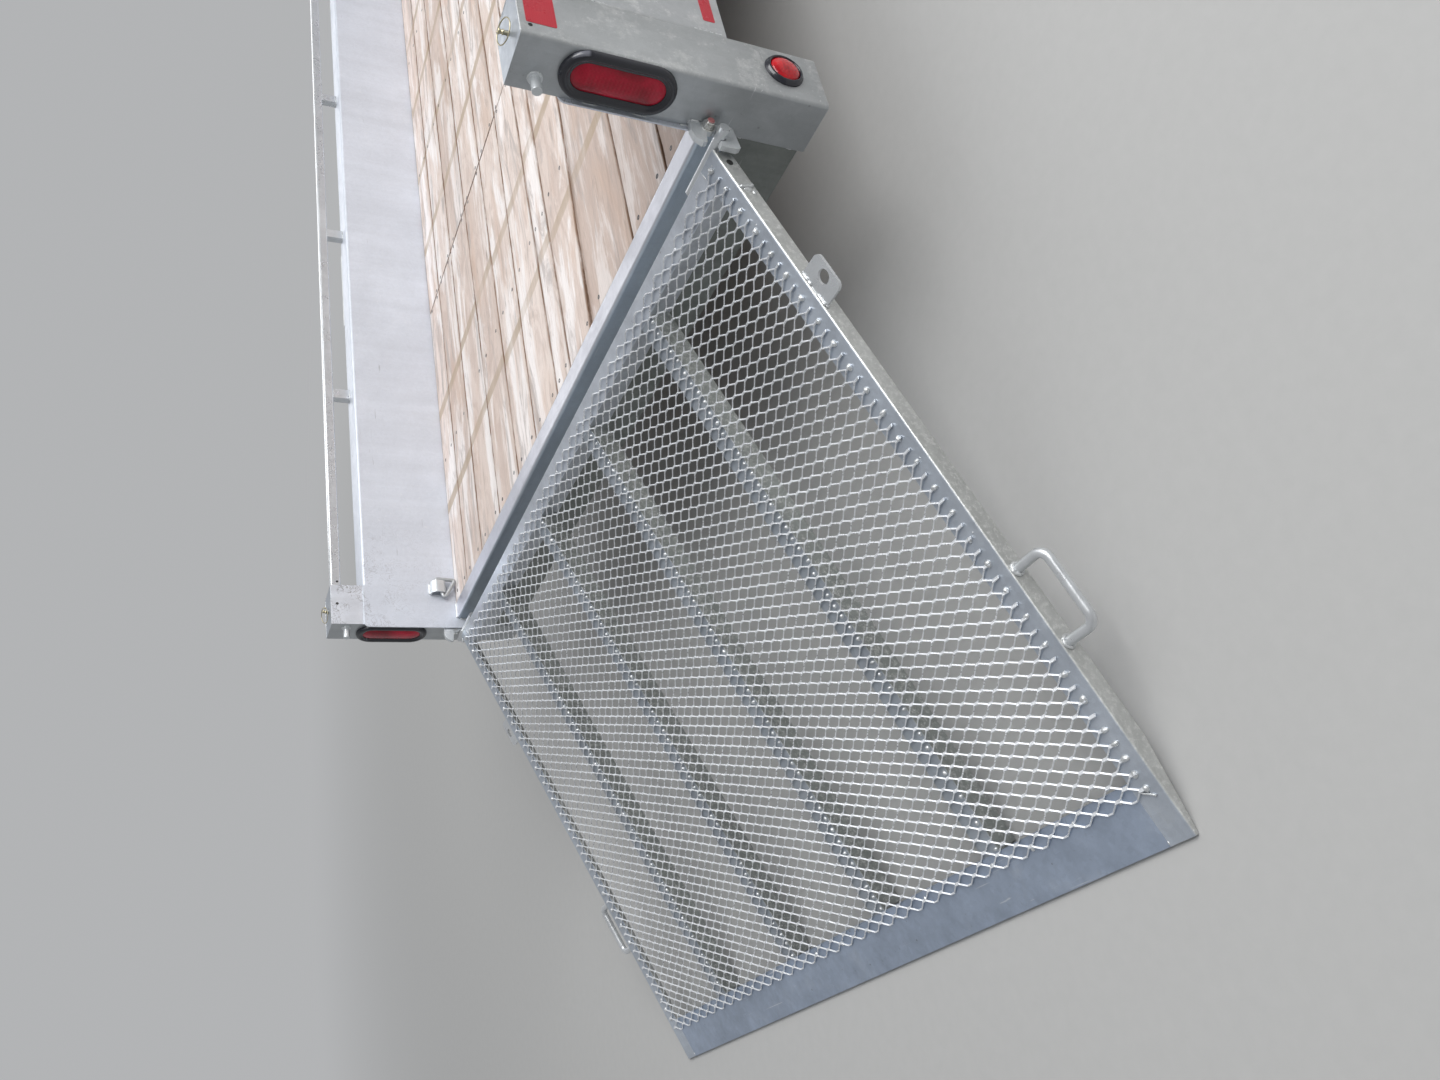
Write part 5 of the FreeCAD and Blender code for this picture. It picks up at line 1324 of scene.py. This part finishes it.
# ------------------------------------------------------------------ floor and light
FAR_LOW, FAR_HIGH = 0.30, 0.46


def floor():
    M = Mat("floor_pale")
    a = M.noise(0.35, 3.0, 0.5)
    b = M.noise(38.0, 4.0, 0.6)
    g = prod(M, M.rng(a, 0.3, 0.7, 0.985, 1.015), M.rng(b, 0.3, 0.7, 0.985, 1.015))
    # far out the floor fades into the tone of the room behind it, so that no edge shows
    p = M.sep(M.P)
    px = M.math("MULTIPLY", p[0], 0.82)
    r = M.math("SQRT", M.math("ADD", M.math("MULTIPLY", px, px), M.math("MULTIPLY", p[1], p[1])))
    rd = M.math("SQRT", M.math("ADD", M.math("MULTIPLY", p[0], p[0]), M.math("MULTIPLY", p[1], p[1])))
    sd = M.math("DIVIDE", M.math("ADD", M.math("MULTIPLY", p[0], 0.53), M.math("MULTIPLY", p[1], 0.85)), M.math("MAXIMUM", rd, 0.01))
    far = M.rng(r, 2.6, 8.0, 0.0, 1.0, True)
    tone = M.rng(sd, -0.5, 0.45, FAR_LOW, FAR_HIGH, True)
    M.set(Base_Color=M.scale((0.47, 0.47, 0.465), M.math("MULTIPLY", g, M.math("SUBTRACT", 1.0, far))),
          Emission_Color=M.scale((0.975, 0.99, 1.01), M.math("MULTIPLY", tone, far)),
          Roughness=M.rng(b, 0.3, 0.7, 0.80, 0.90))
    M.b.inputs["Emission Strength"].default_value = 1.0
    M.b.inputs["Specular IOR Level"].default_value = 0.0
    me = bpy.data.meshes.new("studio_floor")
    k, R = 96, 600.0
    verts = [(0.0, 0.0, -0.0005)] + [(R * math.cos(2 * math.pi * i / k), R * math.sin(2 * math.pi * i / k), -0.0005) for i in range(k)]
    me.from_pydata(verts, [], [(0, 1 + i, 1 + (i + 1) % k) for i in range(k)])
    me.materials.append(M.m)
    ob = bpy.data.objects.new("studio_floor", me)
    scene.collection.objects.link(ob)


floor()

world = bpy.data.worlds.new("studio_world")
scene.world = world
world.use_nodes = True
wt = world.node_tree
wt.nodes.clear()
wo = wt.nodes.new("ShaderNodeOutputWorld")
wb = wt.nodes.new("ShaderNodeBackground")
wc = wt.nodes.new("ShaderNodeTexCoord")
ws = wt.nodes.new("ShaderNodeSeparateXYZ")
wt.links.new(wc.outputs["Generated"], ws.inputs[0])


def wmath(op, x, y):
    q = wt.nodes.new("ShaderNodeMath")
    q.operation = op
    for k, v in ((0, x), (1, y)):
        if isinstance(v, bpy.types.NodeSocket):
            wt.links.new(v, q.inputs[k])
        else:
            q.inputs[k].default_value = v
    return q.outputs[0]


def wrange(v, a, b, c, d):
    q = wt.nodes.new("ShaderNodeMapRange")
    q.interpolation_type = "SMOOTHSTEP"
    wt.links.new(v, q.inputs["Value"])
    for k, w in zip(("From Min", "From Max", "To Min", "To Max"), (a, b, c, d)):
        q.inputs[k].default_value = w
    return q.outputs[0]


# a pale backdrop low down ahead and to the left, a dimmer room behind, a soft ceiling
side = wmath("ADD", wmath("MULTIPLY", ws.outputs[0], 0.53), wmath("MULTIPLY", ws.outputs[1], 0.85))
low = wrange(side, -0.5, 0.45, FAR_LOW, FAR_HIGH)
high = wrange(ws.outputs[2], 0.10, 0.75, 0.0, 1.0)
val = wmath("ADD", wmath("MULTIPLY", low, wmath("SUBTRACT", 1.0, high)), wmath("MULTIPLY", high, 0.40))
wv = wt.nodes.new("ShaderNodeCombineXYZ")
wt.links.new(wmath("MULTIPLY", val, 0.975), wv.inputs[0])
wt.links.new(wmath("MULTIPLY", val, 0.99), wv.inputs[1])
wt.links.new(wmath("MULTIPLY", val, 1.01), wv.inputs[2])
wt.links.new(wv.outputs[0], wb.inputs[0])
wb.inputs[1].default_value = 1.0
wt.links.new(wb.outputs[0], wo.inputs[0])


def area(name, loc, target, size, energy, col=(1, 1, 1)):
    L = bpy.data.lights.new(name, "AREA")
    L.shape = "RECTANGLE"
    L.size, L.size_y = size
    L.energy = energy
    L.color = col
    ob = bpy.data.objects.new(name, L)
    scene.collection.objects.link(ob)
    d = (Vector(target) - Vector(loc)).normalized()
    ob.matrix_world = Matrix.Translation(Vector(loc)) @ d.to_track_quat("-Z", "Y").to_matrix().to_4x4()
    return ob


area("key_side", (0.8, -6.0, 6.0), (-0.2, 0.0, 0.4), (8.0, 4.5), 620, (1.0, 0.998, 0.99))
area("overhead", (1.6, -1.6, 6.8), (0.6, -0.2, 0.4), (7.0, 4.0), 150, (0.97, 0.985, 1.0))
area("far_soft", (5.5, 7.0, 3.0), (0.8, 0.0, 0.4), (6.0, 3.0), 120, (0.98, 0.99, 1.0))

scene.view_settings.view_transform = "Standard"
scene.view_settings.look = "None"
